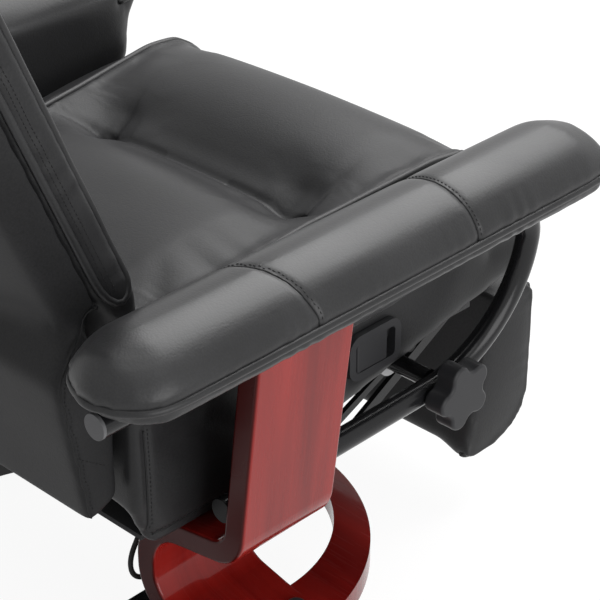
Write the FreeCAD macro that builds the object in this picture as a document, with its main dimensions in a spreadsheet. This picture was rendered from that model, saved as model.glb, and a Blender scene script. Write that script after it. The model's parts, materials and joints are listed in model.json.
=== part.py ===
import FreeCAD, Part
import math
import os
from FreeCAD import Vector

# Recliner on bent ply side supports, turning on a ring of balls under the feet.
# Millimetres, front towards -Y, up +Z, the sitter's right at -X.
# Drawn with the origin on the floor, on the axis of the turntable. At the end all
# pieces are moved along Y so that the origin is under the middle of the whole chair.

SIZES = [
    # turntable, from the floor up
    ("pad_high", 8), ("pad_round", 14), ("pad_count", 6),
    ("floor_ring_outer", 192), ("floor_ring_inner", 150), ("floor_ring_thick", 18),
    ("race_outer", 188), ("race_inner", 158), ("race_thick", 8), ("race_gap", 3),
    ("ball_round", 5), ("ball_count", 24), ("ball_play", 0.3),
    ("bearer_thick", 17), ("bearer_wide", 90), ("bearer_tail", 12),
    # bent ply side supports
    ("ply_thick", 22), ("ply_wide", 110), ("ply_edge", 3),
    ("panel_foot", 132), ("panel_lean", 7), ("panel_gap", 51), ("panel_bend", 29),
    ("shelf_slope", 9.5), ("shelf_high", 103), ("loop_reach", 198), ("loop_bend", 47),
    ("tongue_reach", 275), ("tongue_lift", 18), ("tongue_bend", 110),
    ("foot_reach", 327), ("foot_flat", 19), ("foot_round", 206.5), ("horn_tip", 140),
    ("horn_wide", 24), ("crotch_reach", 269), ("crook_reach", 246), ("crook_half", 133),
    ("foot_bolt_round", 4), ("foot_bolt_half", 38), ("foot_bolt_reach", 293),
    ("cap_round", 8.5), ("cap_high", 3), ("cap_edge", 1.8),
    # arm tubes and pads
    ("tube_round", 11), ("tube_wall", 1.6), ("tube_low", 157), ("tube_rise", 163),
    ("tube_tail", 45), ("tube_front", 330), ("tube_big_bend", 115), ("tube_top_bend", 45),
    ("tube_back", 190), ("tube_play", 0.3), ("plug_head", 3), ("plug_stem", 18),
    ("arm_rear", 216), ("arm_front", 391), ("arm_offset", 5), ("arm_wide", 112),
    ("arm_draw", 7), ("arm_band", 22), ("arm_crown", 40), ("arm_seam_rear", 22),
    ("arm_seam_front", 184), ("arm_seam_dip", 2.5), ("arm_seam_half", 5), ("arm_end_round", 52),
    ("apron_drop", 60), ("apron_thick", 22), ("apron_inset", 3),
    # clamp between arm tube and seat
    ("clamp_ahead", 228), ("stud_round", 5), ("spacer_round", 9), ("flange_round", 16),
    ("flange_thick", 3), ("nut_round", 9), ("nut_thick", 7), ("plate_play", 0.3),
    ("plate_inset", 11), ("plate_thick", 5), ("plate_wide", 26), ("slot_play", 0.6),
    ("knob_round", 34), ("knob_lobe", 11), ("knob_dip", 10), ("knob_thick", 22), ("knob_edge", 3),
    ("knob_lobes", 5), ("knob_hub_play", 0.06), ("knob_play", 1), ("knob_bore_deep", 16),
    # seat
    ("glide_slope", 23), ("glide_travel", 85),
    ("seat_half", 258), ("side_thick", 18), ("deck_thick", 16), ("seat_rear", 112),
    ("seat_front", 398), ("deck_high", 95), ("side_low", 6), ("side_knee", 20),
    ("side_step", 27), ("side_step_at", 153), ("side_front_low", 72),
    ("rail_thick", 18), ("rear_rail_low", 34), ("board_thick", 5),
    ("cushion_play", 0.3), ("cushion_rear", 80), ("cushion_front", 405),
    ("cushion_edge", 55), ("cushion_crown", 44), ("cushion_draw", 9), ("cushion_shoulder", 62),
    ("channel_at", 200), ("tuft_half", 125), ("tuft_round", 30),
    ("tuft_dip", 9), ("front_roll", 46),
    ("brace_low", 67), ("brace_rear", 130), ("brace_front", 332), ("brace_up", 40),
    ("brace_wide", 13), ("brace_thick", 5), ("hanger_wide", 30),
    ("hanger_front", 330), ("bumper_round", 7), ("bumper_long", 9),
    # release handle, on the sitter's right only
    ("bezel_ahead", 170), ("bezel_up", 75), ("bezel_wide", 68), ("bezel_high", 46),
    ("bezel_thick", 6), ("bezel_lip", 8), ("bezel_corner", 14), ("paddle_wide", 36),
    ("paddle_thick", 5), ("paddle_play", 0.5), ("paddle_pin", 2.5), ("cup_deep", 15), ("cup_wall", 2),
    # backrest, in a frame that leans with it
    ("hinge_behind", 124), ("hinge_up", 46), ("back_lean", 23), ("hinge_pin", 5),
    ("hinge_play", 0.05), ("hinge_half", 170), ("lug_thick", 6), ("lug_gap", 1),
    ("eye_round", 11), ("pin_tail", 4), ("board_deep", 45), ("back_board_thick", 12),
    ("back_board_low", 78), ("back_board_high", 770), ("back_tuck", 31),
    ("back_inset", 15), ("back_top", 812), ("back_low", 84), ("back_edge_rear", 78),
    ("back_edge_front", 107), ("back_crown", 34),
    ("shell_deep", 29), ("shell_low", 170.3), ("shell_corner", 15), ("shell_skin", 4),
    ("shell_lip", 1.5), ("shell_gap", 2),
    ("cover_low", 4), ("cover_low_rear", 25), ("cover_knee", 140), ("cover_knee_fore", 6),
    ("cover_top", 170), ("cover_top_fore", 34), ("cover_thick", 12), ("cover_rim", 14),
    ("cheek_thick", 12), ("cheek_low_fore", 10), ("cheek_mid", 60), ("cheek_mid_fore", 30),
    ("cheek_high", 80), ("cheek_front", 52), ("arm_plate_high", 128), ("arm_plate_wide", 20),
    # leg rest
    ("leg_hinge_inset", 8), ("leg_hinge_up", 40), ("leg_inset", 18), ("leg_thick", 36),
    ("leg_board_thick", 14), ("leg_board_top", 6), ("leg_pad_top", 10), ("leg_drop", 178),
    ("leg_roll", 52), ("leg_nose", 12), ("leg_lip", 50), ("leg_lip_high", 62),
    ("leg_side_round", 14), ("leg_arm_half", 190), ("leg_arm_long", 60),
    ("leg_pin", 4), ("leg_eye", 7), ("leg_board_inset", 3),
    # slack lead under the seat
    ("lead_round", 2.5), ("lead_inset", 90), ("gland_round", 7), ("gland_deep", 10),
]

doc = FreeCAD.newDocument("Recliner")
sheet = doc.addObject("Spreadsheet::Sheet", "Sizes")
for row, (alias, number) in enumerate(SIZES, start=1):
    sheet.set("A%d" % row, alias)
    sheet.set("B%d" % row, str(number))
    sheet.setAlias("B%d" % row, alias)
doc.recompute()
size = {alias: float(sheet.get(alias)) for alias, number in SIZES}
nodes = []

X_AXIS = Vector(1, 0, 0)
SMALL = 1e-6
RUN_SHARE = 0.45
SHOULDER_SHARE = 0.8
LEG_END_SHARE = 0.955

# Ends of an arm pad: share of the end's length, share of the width, share of the crown
ARM_ENDS = ((0.0, 0.62, 0.10), (0.12, 0.80, 0.40), (0.4, 0.93, 0.75), (1.0, 1.0, 1.0))

# Seat cushion from rear to front: place (a size and how many front rolls from it),
# then shares of the half width, of the edge's height and of the crown
SEAT_STATIONS = (
    ("cushion_rear", 0.0, 0.95, 0.35, 0.20),
    ("cushion_rear", -0.5, 1.0, 0.55, 0.45),
    ("cushion_rear", -2.0, 1.0, 0.75, 0.85),
    ("channel_at", 1.0, 1.0, 0.88, 1.0),
    ("channel_at", 0.0, 1.0, 0.88, 0.62),
    ("channel_at", -1.0, 1.0, 1.0, 1.0),
    ("cushion_front", 2.0, 1.0, 1.1, 1.05),
    ("cushion_front", 1.0, 1.0, 1.1, 0.95),
    ("cushion_front", 0.33, 0.99, 0.9, 0.7),
    ("cushion_front", 0.0, 0.96, 0.45, 0.35),
)

# Back cushion from low to high: share of the length, of the half width,
# how far the edge is drawn back (share of its thickness) and share of the crown
BACK_STATIONS = (
    (0.0, 0.90, 0.7, 0.3),
    (0.03, 0.96, 0.3, 0.7),
    (0.10, 1.0, 0.0, 1.15),
    (0.30, 1.0, 0.0, 1.25),
    (0.55, 1.0, 0.0, 1.0),
    (0.80, 1.0, 0.0, 1.2),
    (0.93, 0.97, 0.0, 1.0),
    (0.98, 0.90, 0.3, 0.6),
    (1.0, 0.82, 0.7, 0.2),
)

# Rear shell from low to high: share of the length, of the half width, of the depth
SHELL_STATIONS = (
    (0.0, 1.0, 0.45),
    (0.12, 1.0, 0.85),
    (0.4, 1.0, 1.0),
    (0.85, 0.99, 0.9),
    (0.96, 0.95, 0.6),
    (1.0, 0.9, 0.25),
)

# The lead's hanging loop between its glands: along Y, then up from the seat's datum
LEAD_LOOP = (
    (19, -40), (33, -66), (48, -90), (44, -112), (24, -121),
    (6, -108), (-4, -84), (-10, -58), (-13, -36),
)
LEAD_ENDS = (14, -12)


def keep(obj, label):
    """Mark an object as a sub-part under its own label."""
    obj.Label = label
    nodes.append(obj)
    return obj


def feature(label, shape):
    """A sub-part whose shape is worked out here from the sheet's sizes."""
    obj = doc.addObject("Part::Feature", label)
    obj.Shape = shape
    return keep(obj, label)


def group(label, shapes):
    """Like pieces in one node, as separate solids."""
    return feature(label, Part.makeCompound(shapes))


def rod(start, end, radius):
    """A round bar between two points."""
    way = end.sub(start)
    return Part.makeCylinder(radius, way.Length, start, way)


def block(low, high):
    """A box between its lowest and highest corners."""
    return Part.makeBox(high.x - low.x, high.y - low.y, high.z - low.z, low)


def outline(points):
    """A closed wire: each point is a corner, or a pair (arc's middle, arc's end)."""
    start = points[0]
    here = start
    edges = []
    for point in list(points[1:]) + [start]:
        if isinstance(point, tuple):
            edges.append(Part.Arc(here, point[0], point[1]).toShape())
            here = point[1]
        else:
            if point.sub(here).Length > SMALL:
                edges.append(Part.LineSegment(here, point).toShape())
            here = point
    return Part.Wire(edges)


def slab(points, way):
    """A flat outline pushed along a vector."""
    return Part.Face(outline(points)).extrude(way)


def rounded_path(points, radii):
    """A wire of straight runs joined by tangent arcs at the inner points."""
    edges = []
    here = points[0]
    for before, corner, after, radius in zip(points, points[1:], points[2:], radii):
        arrive = corner.sub(before).normalize()
        leave = after.sub(corner).normalize()
        turn = arrive.getAngle(leave)
        cut = radius * math.tan(turn / 2)
        first = corner.sub(Vector(arrive).multiply(cut))
        last = corner.add(Vector(leave).multiply(cut))
        inward = leave.sub(arrive).normalize()
        reach = radius / math.cos(turn / 2)
        middle = corner.add(Vector(inward).multiply(reach - radius))
        if first.sub(here).Length > SMALL:
            edges.append(Part.LineSegment(here, first).toShape())
        edges.append(Part.Arc(first, middle, last).toShape())
        here = last
    edges.append(Part.LineSegment(here, points[-1]).toShape())
    return Part.Wire(edges)


def pipe(path, radius):
    """A round bar swept along a wire."""
    start = path.Edges[0]
    way = start.tangentAt(start.FirstParameter)
    ring = Part.Wire(Part.Circle(path.OrderedVertexes[0].Point, way, radius).toShape())
    return path.makePipeShell([ring], True, False)


def loft(wires):
    """A ruled solid through closed wires with matching edges."""
    return Part.makeLoft(wires, True, True)


def mirrored(shape):
    """The same piece for the other side of the chair."""
    return shape.mirror(Vector(0, 0, 0), X_AXIS)


def pair(label, shape):
    """Left and right nodes from the shape that is made for the left, at +X."""
    feature(label + "_left", shape)
    feature(label + "_right", mirrored(shape))


# Widths that follow from the seat
panel_reach = size["seat_half"] + size["panel_gap"]
arm_mid = panel_reach + size["arm_offset"]
plate_face = size["seat_half"] - size["side_thick"] - size["plate_inset"]
back_half = size["seat_half"] - size["back_inset"]
back_board_half = back_half - size["back_tuck"]
leg_half = size["seat_half"] - size["leg_inset"]
lead_x = size["lead_inset"] - size["seat_half"]

# Heights that the stack under the chair gives
floor_ring_z = size["pad_high"]
race_z = floor_ring_z + size["floor_ring_thick"]
upper_race_z = race_z + size["race_thick"] + size["race_gap"]
bearer_z = upper_race_z + size["race_thick"]
foot_z = bearer_z + size["bearer_thick"]
foot_top = foot_z + size["ply_thick"]
foot_mid = foot_z + size["ply_thick"] / 2
ball_z = race_z + size["race_thick"] + size["race_gap"] / 2
ball_ring = (size["race_outer"] + size["race_inner"]) / 2
base_z = foot_mid + size["panel_foot"]
ply_half = size["ply_wide"] / 2


def bound_ring(label, outer, inner, thick, height):
    """A flat ring as a cut of two cylinders bound to the sheet."""
    body = doc.addObject("Part::Cylinder", label + "_rim")
    body.setExpression("Radius", "Sizes." + outer)
    body.setExpression("Height", "Sizes." + thick)
    body.setExpression("Placement.Base.z", height)
    hole = doc.addObject("Part::Cylinder", label + "_bore")
    hole.setExpression("Radius", "Sizes." + inner)
    hole.setExpression("Height", "Sizes." + thick)
    hole.setExpression("Placement.Base.z", height)
    ring = doc.addObject("Part::Cut", label + "_ring")
    ring.Base = body
    ring.Tool = hole
    return ring


def turntable():
    """Floor ring on rubber pads, two races and the balls between them."""
    pads = []
    for index in range(int(size["pad_count"])):
        turn = 2 * math.pi * index / size["pad_count"]
        reach = (size["floor_ring_outer"] + size["floor_ring_inner"]) / 2
        foot = Vector(reach * math.cos(turn), reach * math.sin(turn), 0)
        pads.append(Part.makeCylinder(size["pad_round"], size["pad_high"], foot))
    group("foot_pads", pads)
    ring = bound_ring("floor", "floor_ring_outer", "floor_ring_inner", "floor_ring_thick",
                      "Sizes.pad_high")
    keep(ring, "floor_ring")
    groove = doc.addObject("Part::Torus", "ball_groove")
    groove.setExpression("Radius1", "(Sizes.race_outer + Sizes.race_inner) / 2")
    groove.setExpression("Radius2", "Sizes.ball_round + Sizes.ball_play")
    low = "Sizes.pad_high + Sizes.floor_ring_thick"
    high = low + " + Sizes.race_thick + Sizes.race_gap"
    groove.setExpression("Placement.Base.z", low + " + Sizes.race_thick + Sizes.race_gap / 2")
    for label, height in (("lower_race", low), ("upper_race", high)):
        blank = bound_ring(label, "race_outer", "race_inner", "race_thick", height)
        race = doc.addObject("Part::Cut", label + "_cut")
        race.Base = blank
        race.Tool = groove
        keep(race, label)
    balls = []
    for index in range(int(size["ball_count"])):
        turn = 2 * math.pi * index / size["ball_count"]
        spot = Vector(ball_ring * math.cos(turn), ball_ring * math.sin(turn), ball_z)
        balls.append(Part.makeSphere(size["ball_round"], spot))
    group("race_balls", balls)


def ply_corners():
    """Corners of the middle line of the bent ply strip, in the XZ plane at +X."""
    lean = math.tan(math.radians(size["panel_lean"]))
    slope = math.tan(math.radians(size["shelf_slope"]))
    top_z = arm_bottom + size["ply_thick"]
    top = Vector(panel_reach + lean * (top_z - base_z), 0, top_z)
    shelf_end = size["loop_reach"]
    shelf_z = foot_mid + size["shelf_high"]
    run = (panel_reach - shelf_end - lean * (base_z - shelf_z)) / (1 - lean * slope)
    knee = Vector(shelf_end + run, 0, shelf_z + slope * run)
    loop_top = Vector(shelf_end, 0, shelf_z)
    loop_low = Vector(shelf_end, 0, foot_mid + size["tongue_lift"])
    landing = Vector(size["tongue_reach"], 0, foot_mid)
    end = Vector(size["foot_reach"] - size["ply_thick"], 0, foot_mid)
    return [top, knee, loop_top, loop_low, landing, end]


def ply_strip():
    """The strip from arm to foot, with both faces offset from its middle line."""
    points = ply_corners()
    radii = [size["panel_bend"], size["loop_bend"], size["loop_bend"], size["tongue_bend"]]
    path = rounded_path(points, radii)
    half = size["ply_thick"] / 2
    edge = size["ply_edge"]
    lean = math.radians(size["panel_lean"])
    across = Vector(math.cos(lean), 0, -math.sin(lean))

    def at(out, along):
        return points[0].add(Vector(across).multiply(out)).add(Vector(0, along, 0))

    flat = half - edge
    side = ply_half - edge
    bulge = edge * math.sin(math.pi / 4)
    section = outline([
        at(-flat, -ply_half),
        at(flat, -ply_half),
        (at(flat + bulge, -side - bulge), at(half, -side)),
        at(half, side),
        (at(flat + bulge, side + bulge), at(flat, ply_half)),
        at(-flat, ply_half),
        (at(-flat - bulge, side + bulge), at(-half, side)),
        at(-half, -side),
        (at(-flat - bulge, -side - bulge), at(-flat, -ply_half)),
    ])
    return path.makePipeShell([section], True, False)


def foot_outline():
    """Crescent foot: two horns that sweep from the tongue to the front and rear."""
    reach = size["foot_reach"]
    flat = size["foot_flat"]
    bend = size["foot_round"]
    centre_x = reach - bend
    tip_x = size["horn_tip"]
    tip_y = flat + math.sqrt(bend ** 2 - (tip_x - centre_x) ** 2)
    half_turn = math.atan2(tip_y - flat, tip_x - centre_x) / 2
    shoulder_x = centre_x + bend * math.cos(half_turn)
    shoulder_y = flat + bend * math.sin(half_turn)
    inner_y = tip_y - size["horn_wide"]

    def at(x, y):
        return Vector(x, y, foot_z)

    root = size["crotch_reach"] - size["ply_thick"] / 2
    nose_x = tip_x - size["horn_wide"] / 2
    nose_y = tip_y - size["horn_wide"] / 2
    crook = (size["crook_reach"], size["crook_half"])
    return [
        at(reach, -flat),
        at(reach, flat),
        (at(shoulder_x, shoulder_y), at(tip_x, tip_y)),
        (at(nose_x, nose_y), at(tip_x, inner_y)),
        (at(*crook), at(size["crotch_reach"], ply_half)),
        at(root, ply_half),
        at(root, -ply_half),
        at(size["crotch_reach"], -ply_half),
        (at(crook[0], -crook[1]), at(tip_x, -inner_y)),
        (at(nose_x, -nose_y), at(tip_x, -tip_y)),
        (at(shoulder_x, -shoulder_y), at(reach, -flat)),
    ]


def side_supports():
    """Bent ply from the arm to the floor side, its bearer and the capped bolts."""
    strip = ply_strip()
    foot = slab(foot_outline(), Vector(0, 0, size["ply_thick"]))
    reach = 2 * panel_reach
    above = block(Vector(0, -reach, arm_bottom), Vector(reach, reach, arm_bottom + reach))
    support = strip.fuse(foot).cut(above).removeSplitter()
    bolts = []
    for side in (1, -1):
        for half in (1, -1):
            spot = Vector(side * size["foot_bolt_reach"], half * size["foot_bolt_half"], bearer_z)
            rise = size["bearer_thick"] + size["ply_thick"]
            shank = Part.makeCylinder(size["foot_bolt_round"], rise, spot)
            cap = Part.makeCylinder(size["cap_round"], size["cap_high"], spot.add(Vector(0, 0, rise)))
            dome = cap.makeFillet(size["cap_edge"], [cap.Edges[0]])
            bolts.append(shank.fuse(dome).removeSplitter())
    holes = Part.makeCompound([
        Part.makeCylinder(size["foot_bolt_round"], foot_top - bearer_z,
                          Vector(size["foot_bolt_reach"], half * size["foot_bolt_half"], bearer_z))
        for half in (1, -1)])
    pair("side_support", support.cut(holes))
    low = Vector(size["race_inner"], -size["bearer_wide"] / 2, bearer_z)
    high = Vector(size["foot_bolt_reach"] + size["bearer_tail"], size["bearer_wide"] / 2, foot_z)
    pair("bearer", block(low, high).cut(holes))
    group("foot_bolts", bolts)


def lean_point(y, rise, play):
    """A point in the plane of the arm tube, which leans with the ply panel."""
    lean = math.radians(size["panel_lean"])
    inset = size["ply_thick"] / 2 + play + size["tube_round"]
    foot_x = panel_reach - (base_z - tube_z) * math.tan(lean) - inset / math.cos(lean)
    return Vector(foot_x + rise * math.sin(lean), y, tube_z + rise * math.cos(lean))


tube_z = foot_mid + size["tube_low"]
tube_axis_x = lean_point(0, 0, size["tube_play"]).x


def arm_frames():
    """Arm tubes with their end plugs, drilled for the clamp studs."""
    play = size["tube_play"]
    points = [
        lean_point(size["tube_tail"], 0, play),
        lean_point(-size["tube_front"], 0, play),
        lean_point(-size["tube_front"], size["tube_rise"], play),
        lean_point(size["tube_back"], size["tube_rise"], play),
    ]
    path = rounded_path(points, [size["tube_big_bend"], size["tube_top_bend"]])
    bore = size["tube_round"] - size["tube_wall"]
    tube = pipe(path, size["tube_round"]).cut(pipe(path, bore))
    stud = rod(Vector(0, -size["clamp_ahead"], tube_z),
               Vector(size["seat_half"] * 2, -size["clamp_ahead"], tube_z),
               size["stud_round"])
    pair("arm_tube", tube.cut(stud))
    plugs = []
    for end in (points[0], points[3]):
        head = rod(end, end.add(Vector(0, size["plug_head"], 0)), size["tube_round"])
        stem = rod(end, end.sub(Vector(0, size["plug_stem"], 0)), bore)
        plug = head.fuse(stem).removeSplitter()
        plugs.extend([plug, mirrored(plug)])
    group("tube_plugs", plugs)


arm_z = tube_z + size["tube_rise"] * math.cos(math.radians(size["panel_lean"]))
arm_bottom = arm_z + size["tube_round"] + size["tube_play"]


def arm_section(y, wide, tall):
    """Cross-section of the arm pad: crowned top, drawn-in band, and an apron on the seat's side."""
    half = size["arm_wide"] / 2 * wide
    foot = half - size["arm_draw"] * wide
    band = arm_bottom + size["arm_band"]
    top = band + size["arm_crown"] * tall
    apron = arm_mid - half + size["apron_inset"]
    apron_back = apron + size["apron_thick"]
    apron_low = arm_bottom - size["apron_drop"]
    return outline([
        Vector(apron, y, apron_low),
        Vector(apron_back, y, apron_low),
        Vector(apron_back, y, arm_bottom),
        Vector(arm_mid + foot, y, arm_bottom),
        Vector(arm_mid + half, y, band),
        (Vector(arm_mid, y, top), Vector(arm_mid - half, y, band)),
    ])


def arm_pads():
    """Arm pads with rounded ends and two sewn seams across the top."""
    dip = 1 - size["arm_seam_dip"] / size["arm_crown"]
    stations = []
    for share, wide, tall in ARM_ENDS:
        stations.append((-size["arm_front"] + share * size["arm_end_round"], wide, tall))
    for seam in (-size["arm_seam_front"], size["arm_seam_rear"]):
        for offset, depth in ((-size["arm_seam_half"], 1.0), (0, dip), (size["arm_seam_half"], 1.0)):
            stations.append((seam + offset, 1.0, depth))
    for share, wide, tall in reversed(ARM_ENDS):
        stations.append((size["arm_rear"] - share * size["arm_end_round"], wide, tall))
    pair("arm_pad", loft([arm_section(*station) for station in stations]))


def on_glide(along, up, x):
    """A point near the clamp, measured along the seat's slide and square to it."""
    slope = math.radians(size["glide_slope"])
    y = -size["clamp_ahead"] - along * math.cos(slope) + up * math.sin(slope)
    z = tube_z + along * math.sin(slope) + up * math.cos(slope)
    return Vector(x, y, z)


deck_top = base_z + size["deck_high"]
deck_under = deck_top - size["deck_thick"]
plate_inner = plate_face - size["plate_thick"]


def star_outline(x, y, z):
    """Five round lobes joined by hollow arcs, in a plane square to X."""
    lobe = size["knob_lobe"]
    ring = size["knob_round"] - lobe
    dip = size["knob_dip"]
    lobes = int(size["knob_lobes"])
    step = math.pi / lobes
    reach = ring * math.cos(step)
    dip_ring = reach + math.sqrt((lobe + dip) ** 2 - (ring * math.sin(step)) ** 2)

    def at(radius, turn):
        return Vector(x, y + radius * math.cos(turn), z + radius * math.sin(turn))

    def touch(turn, side):
        centre = at(ring, turn)
        toward = at(dip_ring, turn + side * step).sub(centre).normalize()
        return centre.add(toward.multiply(lobe))

    points = [touch(0, -1)]
    for index in range(lobes):
        turn = 2 * step * index
        points.append((at(ring + lobe, turn), touch(turn, 1)))
        points.append((at(dip_ring - dip, turn + step), touch(turn + 2 * step, -1)))
    return points


def clamps():
    """Studs through the arm tubes that hold the slotted plates, and their star knobs."""
    y = -size["clamp_ahead"]
    play = size["plate_play"]

    def bar(start, end, radius):
        return rod(Vector(start, y, tube_z), Vector(end, y, tube_z), radius)

    nut_end = plate_inner - play
    flange = plate_face + play
    tube_inner = tube_axis_x - size["tube_round"]
    knob_face = tube_axis_x + size["tube_round"] + size["knob_play"]
    stud_end = knob_face + size["knob_bore_deep"]
    spindle = bar(nut_end - size["nut_thick"], stud_end, size["stud_round"])
    spindle = spindle.fuse([
        bar(nut_end - size["nut_thick"], nut_end, size["nut_round"]),
        bar(flange + size["flange_thick"], tube_inner, size["spacer_round"]),
    ]).removeSplitter()
    pair("clamp_spindle", spindle)
    washer = bar(flange, flange + size["flange_thick"], size["flange_round"])
    washer = washer.cut(bar(flange, flange + size["flange_thick"], size["stud_round"]))
    group("clamp_washers", [washer, mirrored(washer)])
    star = slab(star_outline(knob_face, y, tube_z), Vector(size["knob_thick"], 0, 0))
    rims = [edge for edge in star.Edges if abs(edge.BoundBox.XLength) < SMALL]
    star = star.makeFillet(size["knob_edge"], rims)
    bore = bar(knob_face - size["knob_play"], stud_end + size["knob_play"],
               size["stud_round"] + size["knob_hub_play"])
    pair("star_knob", star.cut(bore))


def glide_plates():
    """Slotted plates under the seat, their braces and the rubber stops."""
    half = size["plate_wide"] / 2
    travel = size["glide_travel"]
    out = Vector(size["plate_thick"], 0, 0)
    front_reach = (size["hanger_front"] - size["clamp_ahead"]) / math.cos(math.radians(size["glide_slope"]))
    rear_reach = travel + half + size["stud_round"]
    bar = slab([
        on_glide(-rear_reach, -half, plate_inner),
        on_glide(front_reach, -half, plate_inner),
        on_glide(front_reach, half, plate_inner),
        on_glide(-rear_reach, half, plate_inner),
    ], out)
    brace_rise = (size["brace_up"] + size["brace_low"]) / (size["brace_front"] - size["brace_rear"])
    brace_half = size["brace_wide"] / 2

    def brace_z(ahead):
        return base_z - size["brace_low"] + brace_rise * (ahead - size["brace_rear"])

    hangers = []
    for ahead in (size["brace_rear"], size["hanger_front"]):
        low = Vector(plate_inner, -ahead - size["hanger_wide"] / 2, brace_z(ahead) - brace_half)
        high = Vector(plate_face, -ahead + size["hanger_wide"] / 2, deck_under)
        hangers.append(block(low, high))
    width = size["stud_round"] + size["slot_play"]
    slot = slab([
        on_glide(-travel, -width, plate_inner),
        on_glide(0, -width, plate_inner),
        (on_glide(width, 0, plate_inner), on_glide(0, width, plate_inner)),
        on_glide(-travel, width, plate_inner),
        (on_glide(-travel - width, 0, plate_inner), on_glide(-travel, -width, plate_inner)),
    ], out)
    deck_room = block(Vector(plate_inner, -size["seat_front"], deck_under),
                      Vector(plate_face, size["seat_rear"], deck_top))
    pair("glide_plate", bar.fuse(hangers).cut([slot, deck_room]).removeSplitter())
    inner = plate_inner - size["brace_thick"]
    ends = (size["brace_rear"], size["brace_front"])
    brace = slab([
        Vector(inner, -ends[0], brace_z(ends[0]) - brace_half),
        Vector(inner, -ends[1], brace_z(ends[1]) - brace_half),
        Vector(inner, -ends[1], brace_z(ends[1]) + brace_half),
        Vector(inner, -ends[0], brace_z(ends[0]) + brace_half),
    ], Vector(size["brace_thick"], 0, 0))
    pair("brace_bar", brace)
    stop_at = size["flange_round"] + size["bumper_round"] + size["slot_play"]
    stop = rod(on_glide(stop_at, 0, plate_face),
               on_glide(stop_at, 0, plate_face + size["bumper_long"]), size["bumper_round"])
    group("stop_bumpers", [stop, mirrored(stop)])


def seat_frame():
    """Upholstered seat frame: two sides, two rails, a deck and a bottom board."""
    inner = size["seat_half"] - size["side_thick"]
    rear = size["seat_rear"]
    front = -size["seat_front"]
    low = base_z - size["side_low"]

    def at(y, up):
        return Vector(inner, y, base_z + up)

    side = slab([
        at(rear, size["deck_high"]),
        at(rear, size["rear_rail_low"]),
        at(rear - size["rail_thick"], -size["side_low"]),
        at(-size["side_knee"], -size["side_low"]),
        at(-size["side_step_at"], size["side_step"]),
        at(front, size["side_front_low"]),
        at(front, size["deck_high"]),
    ], Vector(size["side_thick"], 0, 0))
    feature("seat_side_left", side)
    feature("seat_side_right", mirrored(side).cut(handle_pocket()))
    front_face = front + size["rail_thick"]
    rear_face = rear - size["rail_thick"]
    feature("seat_deck", block(Vector(-inner, front_face, deck_under), Vector(inner, rear_face, deck_top)))
    feature("seat_rear_rail", block(Vector(-inner, rear_face, base_z + size["rear_rail_low"]),
                                    Vector(inner, rear, deck_top)))
    feature("seat_front_rail", block(Vector(-inner, front, base_z + size["side_front_low"]),
                                     Vector(inner, front_face, deck_top)))
    feature("bottom_board", block(Vector(-inner, -size["side_knee"], low),
                                  Vector(inner, rear_face, low + size["board_thick"])))


def bezel_block(wide, high, start, end, corner):
    """A block with rounded corners on the right seat side, between two depths in -X."""
    y = -size["bezel_ahead"]
    z = base_z + size["bezel_up"]
    half_y = wide / 2
    half_z = high / 2
    box = block(Vector(-end, y - half_y, z - half_z), Vector(-start, y + half_y, z + half_z))
    along_x = [edge for edge in box.Edges if abs(edge.BoundBox.XLength - (end - start)) < SMALL]
    return box.makeFillet(corner, along_x)


def mouth_size():
    """Width and height of the finger hole in the bezel."""
    lip = size["bezel_lip"]
    return size["bezel_wide"] - 2 * lip, size["bezel_high"] - 2 * lip


def handle_pocket():
    """The cut in the right seat side that takes the handle's cup."""
    wide, high = mouth_size()
    wall = 2 * size["cup_wall"]
    face = size["seat_half"]
    return bezel_block(wide + wall, high + wall, face - size["cup_deep"], face, size["bezel_corner"] / 2)


def handle():
    """Bezel with its cup, and the paddle hinged at its rear edge."""
    wide, high = mouth_size()
    wall = size["cup_wall"]
    face = size["seat_half"]
    rim = bezel_block(size["bezel_wide"], size["bezel_high"], face, face + size["bezel_thick"],
                      size["bezel_corner"])
    cup = bezel_block(wide + 2 * wall, high + 2 * wall, face - size["cup_deep"], face,
                      size["bezel_corner"] / 2)
    hollow = bezel_block(wide, high, face - size["cup_deep"] + wall, face + size["bezel_thick"],
                         size["bezel_corner"] / 2 - wall)
    y = -size["bezel_ahead"]
    z = base_z + size["bezel_up"]
    play = size["paddle_play"]
    pin = size["paddle_pin"]
    axle_y = y + wide / 2 - pin - play - wall
    axle_x = -face - size["bezel_thick"] + pin + play
    reach = high / 2 + wall
    pin_way = Vector(axle_x, axle_y, z - reach), Vector(axle_x, axle_y, z + reach)
    sockets = rod(pin_way[0], pin_way[1], pin + size["hinge_play"])
    feature("handle_bezel", rim.fuse(cup).cut(hollow).cut(sockets).removeSplitter())
    half = size["paddle_thick"] / 2
    flap = block(Vector(axle_x - half, axle_y - size["paddle_wide"], z - high / 2 + play),
                 Vector(axle_x + half, axle_y, z + high / 2 - play))
    short = Vector(0, 0, size["hinge_play"])
    axle = rod(pin_way[0].add(short), pin_way[1].sub(short), pin)
    feature("release_paddle", flap.fuse(axle).removeSplitter())


def seat_section(y, half, edge, crown):
    """Cross-section of the seat cushion: drawn-in sides, sloped shoulders and a crowned top."""
    bottom = deck_top + size["cushion_play"]
    foot = half - size["cushion_draw"]
    shoulder = half - size["cushion_shoulder"]
    shoulder_z = bottom + edge + SHOULDER_SHARE * crown
    return outline([
        Vector(-foot, y, bottom),
        Vector(foot, y, bottom),
        Vector(half, y, bottom + edge),
        Vector(shoulder, y, shoulder_z),
        (Vector(0, y, bottom + edge + crown), Vector(-shoulder, y, shoulder_z)),
        Vector(-half, y, bottom + edge),
    ])


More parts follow.
